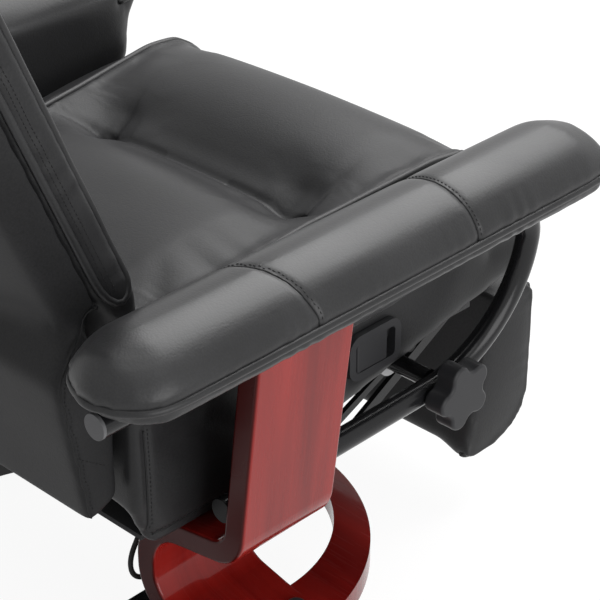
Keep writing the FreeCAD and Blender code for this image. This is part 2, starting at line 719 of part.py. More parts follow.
def seat_cushion():
    """Crowned seat cushion with a sewn channel, two tufts and a rolled front."""
    places = {
        "cushion_rear": size["cushion_rear"],
        "channel_at": -size["channel_at"],
        "cushion_front": -size["cushion_front"],
    }
    edge = size["cushion_edge"]
    crown = size["cushion_crown"]
    sections = []
    for place, rolls, wide, edge_share, crown_share in SEAT_STATIONS:
        y = places[place] + rolls * size["front_roll"]
        sections.append(seat_section(y, wide * size["seat_half"], edge_share * edge, crown_share * crown))
    pad = loft(sections)
    channel = places["channel_at"]
    dent = size["tuft_round"]
    channel_edge, channel_crown = [row[3:] for row in SEAT_STATIONS if row[:2] == ("channel_at", 0.0)][0]
    valley = deck_top + size["cushion_play"] + channel_edge * edge + channel_crown * crown
    tuft_z = valley + dent - size["tuft_dip"]
    for side in (1, -1):
        pad = pad.cut(Part.makeSphere(dent, Vector(side * size["tuft_half"], channel, tuft_z)))
    feature("seat_cushion", pad)


hinge_y = size["hinge_behind"]
hinge_z = base_z + size["hinge_up"]


def on_back(x, up, fore):
    """A point of the backrest: up its length from the hinge, and towards its front."""
    lean = math.radians(size["back_lean"])
    y = hinge_y + up * math.sin(lean) - fore * math.cos(lean)
    z = hinge_z + up * math.cos(lean) + fore * math.sin(lean)
    return Vector(x, y, z)


def back_block(half, low, high, rear, front):
    """A block across the backrest's width."""
    return slab([
        on_back(-half, low, rear),
        on_back(-half, high, rear),
        on_back(-half, high, front),
        on_back(-half, low, front),
    ], Vector(2 * half, 0, 0))


def back_hinge():
    """Lugs with pins on the seat's rear rail, and the arms that turn on them."""
    thick = size["lug_thick"]
    lug_x = size["hinge_half"]
    arm_x = lug_x + thick + size["lug_gap"]
    eye = size["eye_round"]
    centre = Vector(0, hinge_y, hinge_z)

    def bar(start, end, radius):
        return rod(centre.add(Vector(start, 0, 0)), centre.add(Vector(end, 0, 0)), radius)

    web = block(Vector(lug_x, size["seat_rear"], hinge_z - eye),
                Vector(lug_x + thick, hinge_y, hinge_z + eye))
    pin = bar(lug_x - size["pin_tail"], arm_x + thick + size["pin_tail"], size["hinge_pin"])
    lug = web.fuse([bar(lug_x, lug_x + thick, eye), pin]).removeSplitter()
    group("back_lugs", [lug, mirrored(lug)])
    deep = size["board_deep"]
    wide = size["arm_plate_wide"]
    plate = slab([
        on_back(arm_x, 0, eye),
        on_back(arm_x, size["back_board_low"] - wide, deep - wide / 2),
        on_back(arm_x, size["back_board_low"] + wide / 2, deep),
        on_back(arm_x, size["arm_plate_high"], deep),
        on_back(arm_x, size["arm_plate_high"], deep - wide),
        on_back(arm_x, size["back_board_low"], deep - wide),
        on_back(arm_x, 0, -eye),
    ], Vector(thick, 0, 0))
    bore = bar(arm_x - thick, arm_x + 2 * thick, size["hinge_pin"] + size["hinge_play"])
    arm = plate.fuse(bar(arm_x, arm_x + thick, eye)).cut(bore).removeSplitter()
    group("back_arms", [arm, mirrored(arm)])


def back_section(up, half, front, crown):
    """Cross-section of the back cushion: thin edges, crowned front, flat rear."""
    rear = size["board_deep"] + size["back_board_thick"] + size["cushion_play"]
    tuck = half - (back_half - back_board_half)
    return outline([
        on_back(-tuck, up, rear),
        on_back(tuck, up, rear),
        on_back(half, up, size["back_edge_rear"]),
        on_back(half, up, front),
        (on_back(0, up, front + crown), on_back(-half, up, front)),
        on_back(-half, up, size["back_edge_rear"]),
    ])


def backrest():
    """Back board, front cushion, rear shell and the boxed cover round the hinge."""
    board_rear = size["board_deep"]
    board_front = board_rear + size["back_board_thick"]
    feature("back_board", back_block(back_board_half, size["back_board_low"],
                                     size["back_board_high"], board_rear, board_front))
    front = size["back_edge_front"]
    rise = front - size["back_edge_rear"]
    low = size["back_low"]
    length = size["back_top"] - low
    sections = []
    for share, wide, drawn, crown in BACK_STATIONS:
        sections.append(back_section(low + share * length, wide * back_half,
                                     front - drawn * rise, crown * size["back_crown"]))
    cushion = loft(sections)
    feature("back_cushion", cushion)
    back_shell(cushion)
    back_cover()


def back_shell(cushion):
    """Outside back: a curved skin that wraps the board's edges up to the piping."""
    board_rear = size["board_deep"] - size["cushion_play"]
    board_front = size["board_deep"] + size["back_board_thick"]
    low = size["shell_low"]
    length = size["back_board_high"] - low
    lip = size["shell_lip"]
    wires = []
    for share, wide, deep in SHELL_STATIONS:
        up = low + share * length
        board = back_board_half + size["cushion_play"]
        side_fore = board_rear - size["shell_skin"]
        crest = side_fore - size["shell_deep"] * deep
        tip = max((back_half - size["shell_gap"]) * wide, board + 2 * lip)
        side = max((back_half - size["shell_corner"]) * wide, board + lip)
        tip_fore = size["back_edge_rear"] - size["shell_gap"]
        wires.append(outline([
            on_back(-tip, up, tip_fore),
            on_back(-side, up, side_fore),
            (on_back(0, up, crest), on_back(side, up, side_fore)),
            on_back(tip, up, tip_fore),
            on_back(tip - lip, up, tip_fore),
            on_back(board, up, board_front),
            on_back(board, up, board_rear),
            on_back(-board, up, board_rear),
            on_back(-board, up, board_front),
            on_back(-tip + lip, up, tip_fore),
        ]))
    clear = on_back(0, 0, -size["shell_gap"]).sub(on_back(0, 0, 0))
    feature("back_shell", loft(wires).cut(cushion.translated(clear)))


def back_cover():
    """Boxed lower cover of the backrest, open at the front for the hinge."""
    half = back_half
    thick = size["cover_thick"]
    rear = size["board_deep"] - size["cushion_play"]
    low = size["cover_low"]
    low_inner = thick - size["cover_low_rear"]
    knee = (size["cover_knee"] - thick / 2, size["cover_knee_fore"] + thick)
    rim = (size["cover_top"] - size["cover_rim"], rear)
    profile = [
        (low, -size["cover_low_rear"]),
        (size["cover_knee"], size["cover_knee_fore"]),
        (size["cover_top"], size["cover_top_fore"]),
        (size["cover_top"], rear),
        rim,
        knee,
        (low, low_inner),
    ]
    panel = slab([on_back(-half, up, fore) for up, fore in profile], Vector(2 * half, 0, 0))
    side = [
        (low, low_inner),
        (low, size["cheek_low_fore"]),
        (size["cheek_mid"], size["cheek_mid_fore"]),
        (size["cheek_high"], size["cheek_front"]),
        (size["cover_top"], size["cheek_front"]),
        (size["cover_top"], rear),
        rim,
        knee,
    ]
    inner = half - size["cheek_thick"]
    cheek = slab([on_back(inner, up, fore) for up, fore in side], Vector(size["cheek_thick"], 0, 0))
    feature("lower_back_cover", panel.fuse([cheek, mirrored(cheek)]).removeSplitter())


leg_y = size["leg_hinge_inset"] - size["seat_front"]
leg_z = base_z + size["leg_hinge_up"]


def leg_section(x, share):
    """Side profile of the leg rest pad at x: flat front, round lower edge and a lip that turns back."""
    half_board = size["leg_board_thick"] / 2
    play = size["cushion_play"]
    rear = leg_y - half_board - play
    front = rear - size["leg_thick"]
    top = leg_z - size["leg_pad_top"]
    bottom = leg_z - size["leg_drop"]
    roll = size["leg_roll"]
    nose = size["leg_nose"]
    lip = leg_y + size["leg_lip"]
    ledge = bottom + size["leg_lip_high"] - play
    sag = 1 - math.sin(math.pi / 4)

    def at(y, z):
        return Vector(x, rear + share * (y - rear), ledge + share * (z - ledge))

    return outline([
        at(rear, top),
        at(front + nose, top),
        (at(front + sag * nose, top - sag * nose), at(front, top - nose)),
        at(front, bottom + roll),
        (at(front + sag * roll, bottom + sag * roll), at(front + roll, bottom)),
        at(lip - nose, bottom),
        (at(lip - sag * nose, bottom + sag * nose), at(lip, bottom + nose)),
        at(leg_y + half_board, ledge),
        at(rear, ledge),
    ])


def leg_rest():
    """Leg rest board and pad, with its arms on lugs under the front rail."""
    half_board = size["leg_board_thick"] / 2
    half = leg_half
    board_half = half - size["leg_board_inset"]
    bottom = leg_z - size["leg_drop"]
    top = leg_z + size["leg_board_top"]
    board = block(Vector(-board_half, leg_y - half_board, bottom + size["leg_lip_high"]),
                  Vector(board_half, leg_y + half_board, top))
    thick = size["lug_thick"]
    lug_x = size["leg_arm_half"]
    arm_x = lug_x + thick + size["lug_gap"]
    eye = size["leg_eye"]
    centre = Vector(0, leg_y, leg_z)

    def bar(start, end, radius):
        return rod(centre.add(Vector(start, 0, 0)), centre.add(Vector(end, 0, 0)), radius)

    arm_low = leg_z - size["leg_arm_long"]
    notch = block(Vector(lug_x - size["pin_tail"] - size["lug_gap"], leg_y - half_board, arm_low),
                  Vector(arm_x + thick, leg_y + half_board, top))
    feature("leg_board", board.cut(Part.makeCompound([notch, mirrored(notch)])))
    hang = block(Vector(lug_x, leg_y - eye, leg_z),
                 Vector(lug_x + thick, leg_y + eye, base_z + size["side_front_low"]))
    pin = bar(lug_x - size["pin_tail"], arm_x + thick - size["lug_gap"], size["leg_pin"])
    lug = hang.fuse([bar(lug_x, lug_x + thick, eye), pin]).removeSplitter()
    group("leg_lugs", [lug, mirrored(lug)])
    plate = block(Vector(arm_x, leg_y - eye, arm_low), Vector(arm_x + thick, leg_y + eye, leg_z))
    bore = bar(arm_x - thick, arm_x + thick - size["lug_gap"] + size["hinge_play"],
               size["leg_pin"] + size["hinge_play"])
    arm = plate.fuse(bar(arm_x, arm_x + thick, eye)).cut(bore).removeSplitter()
    group("leg_arms", [arm, mirrored(arm)])
    inner = half - size["leg_side_round"]
    places = ((-half, LEG_END_SHARE), (-inner, 1.0), (inner, 1.0), (half, LEG_END_SHARE))
    feature("leg_pad", loft([leg_section(x, share) for x, share in places]))


def slack_lead():
    """Thin lead that hangs in a loop between two glands in the bottom board."""
    end_up = -size["side_low"] - size["gland_deep"]
    route = ((LEAD_ENDS[0], end_up),) + LEAD_LOOP + ((LEAD_ENDS[1], end_up),)
    points = [Vector(lead_x, y, base_z + up) for y, up in route]
    radii = []
    for before, corner, after in zip(points, points[1:], points[2:]):
        arrive = corner.sub(before)
        leave = after.sub(corner)
        turn = arrive.getAngle(leave)
        radii.append(RUN_SHARE * min(arrive.Length, leave.Length) / math.tan(turn / 2))
    print("lead radii", [round(radius, 1) for radius in radii])
    path = rounded_path(points, radii)
    lead = pipe(path, size["lead_round"])
    section = math.pi * size["lead_round"] ** 2
    ratio = lead.Volume / (section * path.Length)
    print("lead length", round(path.Length, 1), "volume ratio", round(ratio, 4))
    feature("slack_lead", lead)
    glands = []
    for end in (points[0], points[-1]):
        top = Vector(end.x, end.y, base_z - size["side_low"])
        glands.append(rod(end, top, size["gland_round"]))
    group("lead_glands", glands)


def build_all():
    turntable()
    side_supports()
    arm_frames()
    arm_pads()
    clamps()
    glide_plates()
    seat_frame()
    handle()
    seat_cushion()
    back_hinge()
    backrest()
    leg_rest()
    slack_lead()


build_all()
doc.recompute()
for obj in doc.Objects:
    if "Invalid" in obj.State or "Error" in obj.State:
        raise RuntimeError("failed object " + obj.Name)
for obj in nodes:
    if obj.Shape.isNull() or not obj.Shape.isValid():
        raise RuntimeError("bad shape " + obj.Label)
limits = [obj.Shape.optimalBoundingBox(False, False) for obj in nodes if obj.Label != "slack_lead"]
ahead = min(box.YMin for box in limits)
behind = max(box.YMax for box in limits)
centring = Vector(0, -(ahead + behind) / 2, 0)
print("turning axis at y", round(centring.y, 3))
os.makedirs("parts", exist_ok=True)
for obj in nodes:
    shape = obj.Shape.copy()
    shape.translate(centring)
    shape.exportStep("parts/%s.step" % obj.Label)
    print(obj.Label, "solids", len(shape.Solids), "volume", round(shape.Volume))
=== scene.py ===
"""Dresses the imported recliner: leather cushions, sewn seams, bent ply, steel and plastic, and a studio."""

import json
import math

import bmesh
import bpy
import numpy
from mathutils import Matrix, Vector
from mathutils.bvhtree import BVHTree


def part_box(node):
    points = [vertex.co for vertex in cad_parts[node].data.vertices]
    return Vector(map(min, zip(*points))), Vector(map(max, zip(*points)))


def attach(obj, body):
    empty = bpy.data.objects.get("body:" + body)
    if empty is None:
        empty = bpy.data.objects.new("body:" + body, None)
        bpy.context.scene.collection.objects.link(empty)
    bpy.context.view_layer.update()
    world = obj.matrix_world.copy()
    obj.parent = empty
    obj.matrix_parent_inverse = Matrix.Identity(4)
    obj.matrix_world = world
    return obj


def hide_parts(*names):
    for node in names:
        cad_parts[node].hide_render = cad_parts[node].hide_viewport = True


bl_info = {
    "name": "Swivel recliner dressing",
    "version": (1, 0, 0),
    "blender": (4, 5, 0),
    "location": "View3D > Sidebar > Recliner",
    "description": "Upholsters the recliner's frame and sets up its studio",
    "category": "Object",
}

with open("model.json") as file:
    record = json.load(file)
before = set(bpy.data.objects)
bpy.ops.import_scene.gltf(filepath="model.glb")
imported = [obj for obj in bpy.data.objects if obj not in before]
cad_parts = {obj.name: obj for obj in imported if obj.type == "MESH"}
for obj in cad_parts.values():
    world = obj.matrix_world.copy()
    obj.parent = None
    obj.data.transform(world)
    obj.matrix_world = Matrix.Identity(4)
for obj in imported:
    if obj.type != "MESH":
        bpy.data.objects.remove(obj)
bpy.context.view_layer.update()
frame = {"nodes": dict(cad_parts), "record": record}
NODES = frame["nodes"]
JOINT_PLACES = {
    joint["name"]: Vector(joint["pos_m"])
    for joint in frame["record"]["behaviour"]["joints"]
    if "pos_m" in joint
}
AXIS_Y = JOINT_PLACES["swivel"].y
BACK_HINGE = JOINT_PLACES["back_recline"]
BACK_LEAN = math.radians(23)
BACK_UP = Vector((0, math.sin(BACK_LEAN), math.cos(BACK_LEAN)))
BACK_FORE = Vector((0, -math.cos(BACK_LEAN), math.sin(BACK_LEAN)))
ACROSS = Vector((1, 0, 0))
DOWN = Vector((0, 0, -1))

# Hanging loop of the lead, from one gland to the other: along Y and up from the seat's datum, in millimetres
LEAD_ROUTE = (
    (14, -16), (19, -40), (33, -66), (48, -90), (44, -112), (24, -121),
    (6, -108), (-4, -84), (-10, -58), (-13, -36), (-12, -16),
)
LEAD_X = -168
SEAT_DATUM = 205

# Where rays at the upholstery start: above the seat and beside the chair, in millimetres
ABOVE = 520
BESIDE = 400

# Half the width of the ply strip, and the height of the foot's upper face, in millimetres
PLY_HALF = 55
FOOT_TOP = 86

# The back's piped band: its lower tip and the start of its round top, up from the hinge, and its two edges,
# forward from the hinge, in millimetres
BAND_TIP = 176
BAND_TOP = 567
BAND_FRONT = 107
BAND_REAR = 79


def size_of(name, about, default):
    """A length in metres for the panel."""
    return bpy.props.FloatProperty(name=name, description=about, default=default, min=0.0, unit="LENGTH")


def tint_of(name, about, default):
    """A colour for the panel."""
    return bpy.props.FloatVectorProperty(
        name=name, description=about, default=default, subtype="COLOR", size=3, min=0, max=1)


def number_of(name, about, default):
    """A plain number for the panel."""
    return bpy.props.FloatProperty(name=name, description=about, default=default, min=0.0)


class SoftSizes(bpy.types.PropertyGroup):
    """Sizes of the padding, seams and stitching."""

    arm_grid: size_of("Arm grid", "Mesh grid of the arm pads before they are filled", 0.005)
    seat_grid: size_of("Seat grid", "Mesh grid of the seat and back cushions before they are filled", 0.0065)
    cover_grid: size_of("Cover grid", "Mesh grid of the tight covers over boards", 0.0045)
    filling: number_of("Filling", "Air pressure that swells a cushion", 4.0)
    arm_swell: size_of("Arm swell", "Furthest that an arm pad may swell", 0.009)
    seat_swell: size_of("Seat swell", "Furthest that the seat cushion may swell", 0.022)
    back_swell: size_of("Back swell", "Furthest that the back cushion may swell", 0.022)
    leg_swell: size_of("Leg rest swell", "Furthest that the leg rest may swell", 0.008)
    apron: size_of("Apron", "How far an arm pad's apron hangs below its underside", 0.060)
    arm_strip: size_of("Arm strip", "Height of the strip between an arm's underside and its piping", 0.015)
    piping: size_of("Piping", "Radius of the welt piping", 0.0038)
    seam_deep: size_of("Seam depth", "Depth of a stitched seam", 0.0020)
    seam_wide: size_of("Seam width", "Half width of a stitched seam's groove", 0.0034)
    stitch_pitch: size_of("Stitch pitch", "From one stitch to the next", 0.0042)
    stitch_long: size_of("Stitch length", "Length of one stitch", 0.0030)
    stitch_thick: size_of("Thread", "Thickness of the thread", 0.0008)
    stitch_offset: size_of("Stitch offset", "From a seam to the row of stitches beside it", 0.0036)
    lead_thick: size_of("Lead", "Diameter of the slack lead", 0.005)


class FinishColours(bpy.types.PropertyGroup):
    """Colours of the leather, ply, metal and plastic."""

    leather_dark: tint_of("Leather, deep", "Leather in the grain's hollows", (0.010, 0.010, 0.0105))
    leather_light: tint_of("Leather, worn", "Leather on the grain's tops", (0.034, 0.034, 0.0355))
    ply_deep: tint_of("Ply, dark figure", "Dark streaks of the stained ply", (0.150, 0.005, 0.004))
    ply_warm: tint_of("Ply, light figure", "Light streaks of the stained ply", (0.300, 0.014, 0.010))
    # Painted shade: the darker colour that the edge faces of the ply strips take to stand for the shade that
    # falls on them
    ply_edge_shade: tint_of("Ply, edges", "Edges of the ply, where the stain soaks in", (0.050, 0.0020, 0.0016))
    steel_black: tint_of("Black steel", "Powder-coated tube and plates", (0.010, 0.010, 0.011))
    steel_bright: tint_of("Bright steel", "Plated races and balls", (0.60, 0.60, 0.61))
    plastic_black: tint_of("Black plastic", "Knobs, paddle, bezel and caps", (0.022, 0.022, 0.024))
    plastic_grey: tint_of("Grey plastic", "Upper tube plugs", (0.125, 0.125, 0.130))
    plastic_pale: tint_of("Pale plastic", "Clamp washers", (0.50, 0.50, 0.51))
    thread: tint_of("Thread", "Sewing thread and lower tube plugs", (0.006, 0.006, 0.0065))


class StudioSizes(bpy.types.PropertyGroup):
    """Camera and lamps."""

    camera_at: bpy.props.FloatVectorProperty(
        name="Camera", description="Camera's place from the turning axis",
        default=(-1.2726, 0.9718, 1.2099), subtype="TRANSLATION", size=3)
    camera_aim: bpy.props.FloatVectorProperty(
        name="Aim", description="Point that the camera looks at, from the turning axis",
        default=(-0.310, -0.025, 0.410), subtype="TRANSLATION", size=3)
    lens: number_of("Lens", "Focal length in millimetres", 120.0)
    top_lamp: number_of("Top lamp", "Power of the large lamp above", 20.0)
    side_lamp: number_of("Side lamp", "Power of the low fill beside the chair", 16.0)
    front_lamp: number_of("Front lamp", "Power of the lamp that shines along the top of the arms", 46.0)
    sky: number_of("Sky", "Strength of the white surround as a light", 0.25)


def at(x, y, z):
    """A point given in millimetres from the turning axis on the floor, in the frame's metres."""
    return Vector((x / 1000, y / 1000 + AXIS_Y, z / 1000))


def on_back(x, up, fore):
    """A point of the leaning backrest: sideways, up and forward from its hinge, in millimetres."""
    return BACK_HINGE + ACROSS * (x / 1000) + BACK_UP * (up / 1000) + BACK_FORE * (fore / 1000)


def soft_sizes():
    """The padding's sizes as set in the panel."""
    return bpy.context.scene.recliner_soft


def colours():
    """The finishes' colours as set in the panel."""
    return bpy.context.scene.recliner_colours


# Finishes

def add_node(tree, kind, x, y, feeds=None, **settings):
    """A new shader node with its settings; feeds gives each named input a number, a colour or a link."""
    node = tree.nodes.new(kind)
    node.location = (x, y)
    for key, value in settings.items():
        setattr(node, key, value)
    for key, value in (feeds or {}).items():
        if isinstance(value, bpy.types.NodeSocket):
            tree.links.new(value, node.inputs[key])
        else:
            node.inputs[key].default_value = value
    return node


def new_group(name, inputs, outputs):
    """An empty shader group with a vector input named Coordinates, number inputs and number outputs."""
    group = bpy.data.node_groups.new(name, "ShaderNodeTree")
    group.interface.new_socket("Coordinates", in_out="INPUT", socket_type="NodeSocketVector")
    for label, default in inputs:
        socket = group.interface.new_socket(label, in_out="INPUT", socket_type="NodeSocketFloat")
        socket.default_value = default
    for label in outputs:
        group.interface.new_socket(label, in_out="OUTPUT", socket_type="NodeSocketFloat")
    entry = add_node(group, "NodeGroupInput", -900, 0)
    leave = add_node(group, "NodeGroupOutput", 700, 0)
    return group, entry.outputs, leave


def hand_out(group, leave, **nodes):
    """Links the first output of a node to each of the group's named outputs."""
    for label, node in nodes.items():
        group.links.new(node.outputs[0], leave.inputs[label])
    return group


def leather_grain():
    """Pebbled grain, fine wrinkles and a broad change of tone."""
    name = "Leather grain"
    if name in bpy.data.node_groups:
        return bpy.data.node_groups[name]
    inputs = (("Pebble Scale", 620.0), ("Wrinkle Scale", 70.0), ("Tone Scale", 7.0))
    group, entry, leave = new_group(name, inputs, ("Height", "Tone", "Wear"))
    place = entry["Coordinates"]
    bend = add_node(group, "ShaderNodeTexNoise", -700, 200,
                    {"Vector": place, "Scale": entry["Wrinkle Scale"], "Detail": 2.0})
    shift = add_node(group, "ShaderNodeVectorMath", -500, 120,
                     {0: bend.outputs["Color"], 1: (0.004, 0.004, 0.004), 2: place}, operation="MULTIPLY_ADD")
    pebble = add_node(group, "ShaderNodeTexVoronoi", -300, 200,
                      {"Vector": shift.outputs[0], "Scale": entry["Pebble Scale"]}, feature="SMOOTH_F1")
    wrinkle = add_node(group, "ShaderNodeTexVoronoi", -300, -100,
                       {"Vector": shift.outputs[0], "Scale": entry["Wrinkle Scale"]},
                       feature="DISTANCE_TO_EDGE")
    fold = add_node(group, "ShaderNodeMapRange", -100, -100,
                    {"Value": wrinkle.outputs["Distance"], "From Max": 0.12}, interpolation_type="SMOOTHSTEP")
    broad = add_node(group, "ShaderNodeTexNoise", -300, -400,
                     {"Vector": place, "Scale": entry["Tone Scale"], "Detail": 4.0})
    round_top = add_node(group, "ShaderNodeMath", -100, 200,
                         {0: pebble.outputs["Distance"], 1: -0.75, 2: 1.0}, operation="MULTIPLY_ADD")
    height = add_node(group, "ShaderNodeMath", 120, 150,
                      {0: fold.outputs["Result"], 1: 0.16, 2: round_top.outputs[0]}, operation="MULTIPLY_ADD")
    tone = add_node(group, "ShaderNodeMath", 320, -60,
                    {0: round_top.outputs[0], 1: broad.outputs["Fac"]}, operation="MULTIPLY")
    wear = add_node(group, "ShaderNodeMapRange", 320, -320,
                    {"Value": broad.outputs["Fac"], "From Min": 0.35, "From Max": 0.70})
    return hand_out(group, leave, Height=height, Tone=tone, Wear=wear)


def fine_speckle():
    """Even fine texture of powder coat and moulded plastic."""
    name = "Fine speckle"
    if name in bpy.data.node_groups:
        return bpy.data.node_groups[name]
    group, entry, leave = new_group(name, (("Scale", 1400.0), ("Cloud Scale", 18.0)), ("Height", "Cloud"))
    place = entry["Coordinates"]
    grain = add_node(group, "ShaderNodeTexNoise", -300, 150,
                     {"Vector": place, "Scale": entry["Scale"], "Detail": 3.0})
    cloud = add_node(group, "ShaderNodeTexNoise", -300, -150,
                     {"Vector": place, "Scale": entry["Cloud Scale"], "Detail": 5.0})
    return hand_out(group, leave, Height=grain, Cloud=cloud)


def wood_figure():
    """Long grain that runs with the strip, with pores and slow bands."""
    name = "Wood figure"
    if name in bpy.data.node_groups:
        return bpy.data.node_groups[name]
    group, entry, leave = new_group(name, (("Band Scale", 22.0), ("Pore Scale", 260.0)), ("Figure", "Pores"))
    stretch = add_node(group, "ShaderNodeVectorMath", -700, 0,
                       {0: entry["Coordinates"], 1: (0.06, 1.0, 0.06)}, operation="MULTIPLY")
    along = stretch.outputs[0]
    band = add_node(group, "ShaderNodeTexNoise", -450, 200,
                    {"Vector": along, "Scale": entry["Band Scale"], "Detail": 6.0, "Distortion": 0.6})
    pore = add_node(group, "ShaderNodeTexNoise", -450, -150,
                    {"Vector": along, "Scale": entry["Pore Scale"], "Detail": 2.0})
    figure = add_node(group, "ShaderNodeMapRange", -150, 200,
                      {"Value": band.outputs["Fac"], "From Min": 0.30, "From Max": 0.70},
                      interpolation_type="SMOOTHSTEP")
    fine = add_node(group, "ShaderNodeMapRange", -150, -150,
                    {"Value": pore.outputs["Fac"], "From Min": 0.35, "From Max": 0.60})
    return hand_out(group, leave, Figure=figure, Pores=fine)


def new_material(name):
    """A material with its shader and its object coordinates."""
    material = bpy.data.materials.new(name)
    material.use_nodes = True
    tree = material.node_tree
    place = add_node(tree, "ShaderNodeTexCoord", -1100, 0)
    return material, tree, tree.nodes["Principled BSDF"], place.outputs["Object"]


def use_group(tree, group, coordinates, **values):
    """The outputs of a shader group that is placed in a material with its own values."""
    feeds = {label.replace("_", " "): value for label, value in values.items()}
    feeds["Coordinates"] = coordinates
    return add_node(tree, "ShaderNodeGroup", -850, 0, feeds, node_tree=group).outputs


def mix_colours(tree, factor, dark, light):
    """A colour between two by a mask."""
    mix = add_node(tree, "ShaderNodeMix", -500, 200,
                   {"Factor": factor, "A": (*dark, 1), "B": (*light, 1)}, data_type="RGBA")
    return mix.outputs["Result"]


def vary(tree, value, low, high, socket):
    """Sends a mask, spread between two numbers, to a shader socket."""
    spread = add_node(tree, "ShaderNodeMapRange", -500, -60, {"Value": value, "To Min": low, "To Max": high})
    tree.links.new(spread.outputs["Result"], socket)


def raise_bump(tree, height, shader, strength, distance):
    """Bump from a height to the shader's normal."""
    bump = add_node(tree, "ShaderNodeBump", -350, -300,
                    {"Height": height, "Strength": strength, "Distance": distance})
    tree.links.new(bump.outputs["Normal"], shader.inputs["Normal"])


def leather_finish(name, low_rough, high_rough, bump, gloss):
    """Soft black upholstery leather."""
    material, tree, shader, place = new_material(name)
    grain = use_group(tree, leather_grain(), place)
    colour = mix_colours(tree, grain["Tone"], colours().leather_dark, colours().leather_light)
    tree.links.new(colour, shader.inputs["Base Color"])
    vary(tree, grain["Wear"], low_rough, high_rough, shader.inputs["Roughness"])
    raise_bump(tree, grain["Height"], shader, bump, 0.0006)
    shader.inputs["Specular IOR Level"].default_value = gloss
    return material


def ply_finish(name):
    """Red-stained bent ply under a glossy lacquer, duller on the edges of its strips, with a darker colour
    painted on those edges as shade.
    """
    material, tree, shader, place = new_material(name)
    figure = use_group(tree, wood_figure(), place)
    colour = mix_colours(tree, figure["Figure"], colours().ply_deep, colours().ply_warm)
    parts = add_node(tree, "ShaderNodeSeparateXYZ", -1000, 400, {0: place}).outputs
    aside = add_node(tree, "ShaderNodeMath", -850, 400, {0: parts["Y"], 1: AXIS_Y}, operation="SUBTRACT")
    away = add_node(tree, "ShaderNodeMath", -700, 400, {0: aside.outputs[0]}, operation="ABSOLUTE")
    edge_starts, edge_ends = (PLY_HALF - 1.8) / 1000, (PLY_HALF - 0.4) / 1000
    within = add_node(tree, "ShaderNodeMapRange", -550, 400,
                      {"Value": away.outputs[0], "From Min": edge_ends, "From Max": edge_starts})
    on_foot = add_node(tree, "ShaderNodeMath", -550, 600,
                       {0: parts["Z"], 1: FOOT_TOP / 1000}, operation="LESS_THAN")
    face = add_node(tree, "ShaderNodeMath", -400, 500,
                    {0: within.outputs["Result"], 1: on_foot.outputs[0]}, operation="MAXIMUM").outputs[0]
    # Painted shade: the edges of the strip get the darker edge colour, its faces keep the stained figure
    stain_and_edge_shade = add_node(tree, "ShaderNodeMix", -250, 300,
                     {"Factor": face, "A": (*colours().ply_edge_shade, 1), "B": colour}, data_type="RGBA")
    tree.links.new(stain_and_edge_shade.outputs["Result"], shader.inputs["Base Color"])
    vary(tree, face, 0.0, 0.38, shader.inputs["Coat Weight"])
    vary(tree, figure["Pores"], 0.30, 0.20, shader.inputs["Roughness"])
    raise_bump(tree, figure["Pores"], shader, 0.05, 0.0004)
    shader.inputs["Specular IOR Level"].default_value = 0.12
    shader.inputs["Coat Roughness"].default_value = 0.06
    return material


def speckled_finish(name, colour, low_rough, high_rough, bump, metallic=0.0, scale=1400.0, gloss=0.3):
    """Powder coat, plastic, rubber or plated steel with a fine texture and a slow change of sheen."""
    material, tree, shader, place = new_material(name)
    speckle = use_group(tree, fine_speckle(), place, Scale=scale)
    dark = [part * 0.72 for part in colour]
    light = [min(1.0, part * 1.25) for part in colour]
    tree.links.new(mix_colours(tree, speckle["Cloud"], dark, light), shader.inputs["Base Color"])
    vary(tree, speckle["Cloud"], low_rough, high_rough, shader.inputs["Roughness"])
    raise_bump(tree, speckle["Height"], shader, bump, 0.0003)
    shader.inputs["Metallic"].default_value = metallic
    shader.inputs["Specular IOR Level"].default_value = gloss
    return material


def plug_finish(name):
    """Tube plugs: grey at the arms and black at the low ends of the tubes."""
    material, tree, shader, place = new_material(name)
    speckle = use_group(tree, fine_speckle(), place)
    parts = add_node(tree, "ShaderNodeSeparateXYZ", -850, 250, {0: place})
    upper = add_node(tree, "ShaderNodeMapRange", -700, 250,
                     {"Value": parts.outputs["Z"], "From Min": 0.30, "From Max": 0.31})
    colour = mix_colours(tree, upper.outputs["Result"], colours().thread, colours().plastic_grey)
    tree.links.new(colour, shader.inputs["Base Color"])
    vary(tree, speckle["Cloud"], 0.36, 0.50, shader.inputs["Roughness"])
    raise_bump(tree, speckle["Height"], shader, 0.12, 0.0003)
    shader.inputs["Specular IOR Level"].default_value = 0.16
    return material


def cloth_finish(name, colour):
    """Thin non-woven dust cover with a crossed thread pattern."""
    material, tree, shader, place = new_material(name)
    feeds = {"Vector": place, "Scale": 260.0, "Distortion": 1.5}
    threads = [
        add_node(tree, "ShaderNodeTexWave", -850, height, feeds, bands_direction=direction).outputs["Fac"]
        for direction, height in (("X", 150), ("Y", -150))
    ]
    cross = add_node(tree, "ShaderNodeMath", -650, 0, {0: threads[0], 1: threads[1]}, operation="MULTIPLY")
    light = [part * 2.0 for part in colour]
    tree.links.new(mix_colours(tree, cross.outputs[0], colour, light), shader.inputs["Base Color"])
    raise_bump(tree, cross.outputs[0], shader, 0.3, 0.0004)
    shader.inputs["Roughness"].default_value = 0.9
    return material


def board_finish(name):
    """Dark-stained board that the upholstery hides."""
    material, tree, shader, place = new_material(name)
    figure = use_group(tree, wood_figure(), place, Band_Scale=40.0)
    colour = mix_colours(tree, figure["Figure"], (0.016, 0.014, 0.013), (0.030, 0.026, 0.024))
    tree.links.new(colour, shader.inputs["Base Color"])
    raise_bump(tree, figure["Pores"], shader, 0.2, 0.0005)
    shader.inputs["Roughness"].default_value = 0.75
    return material


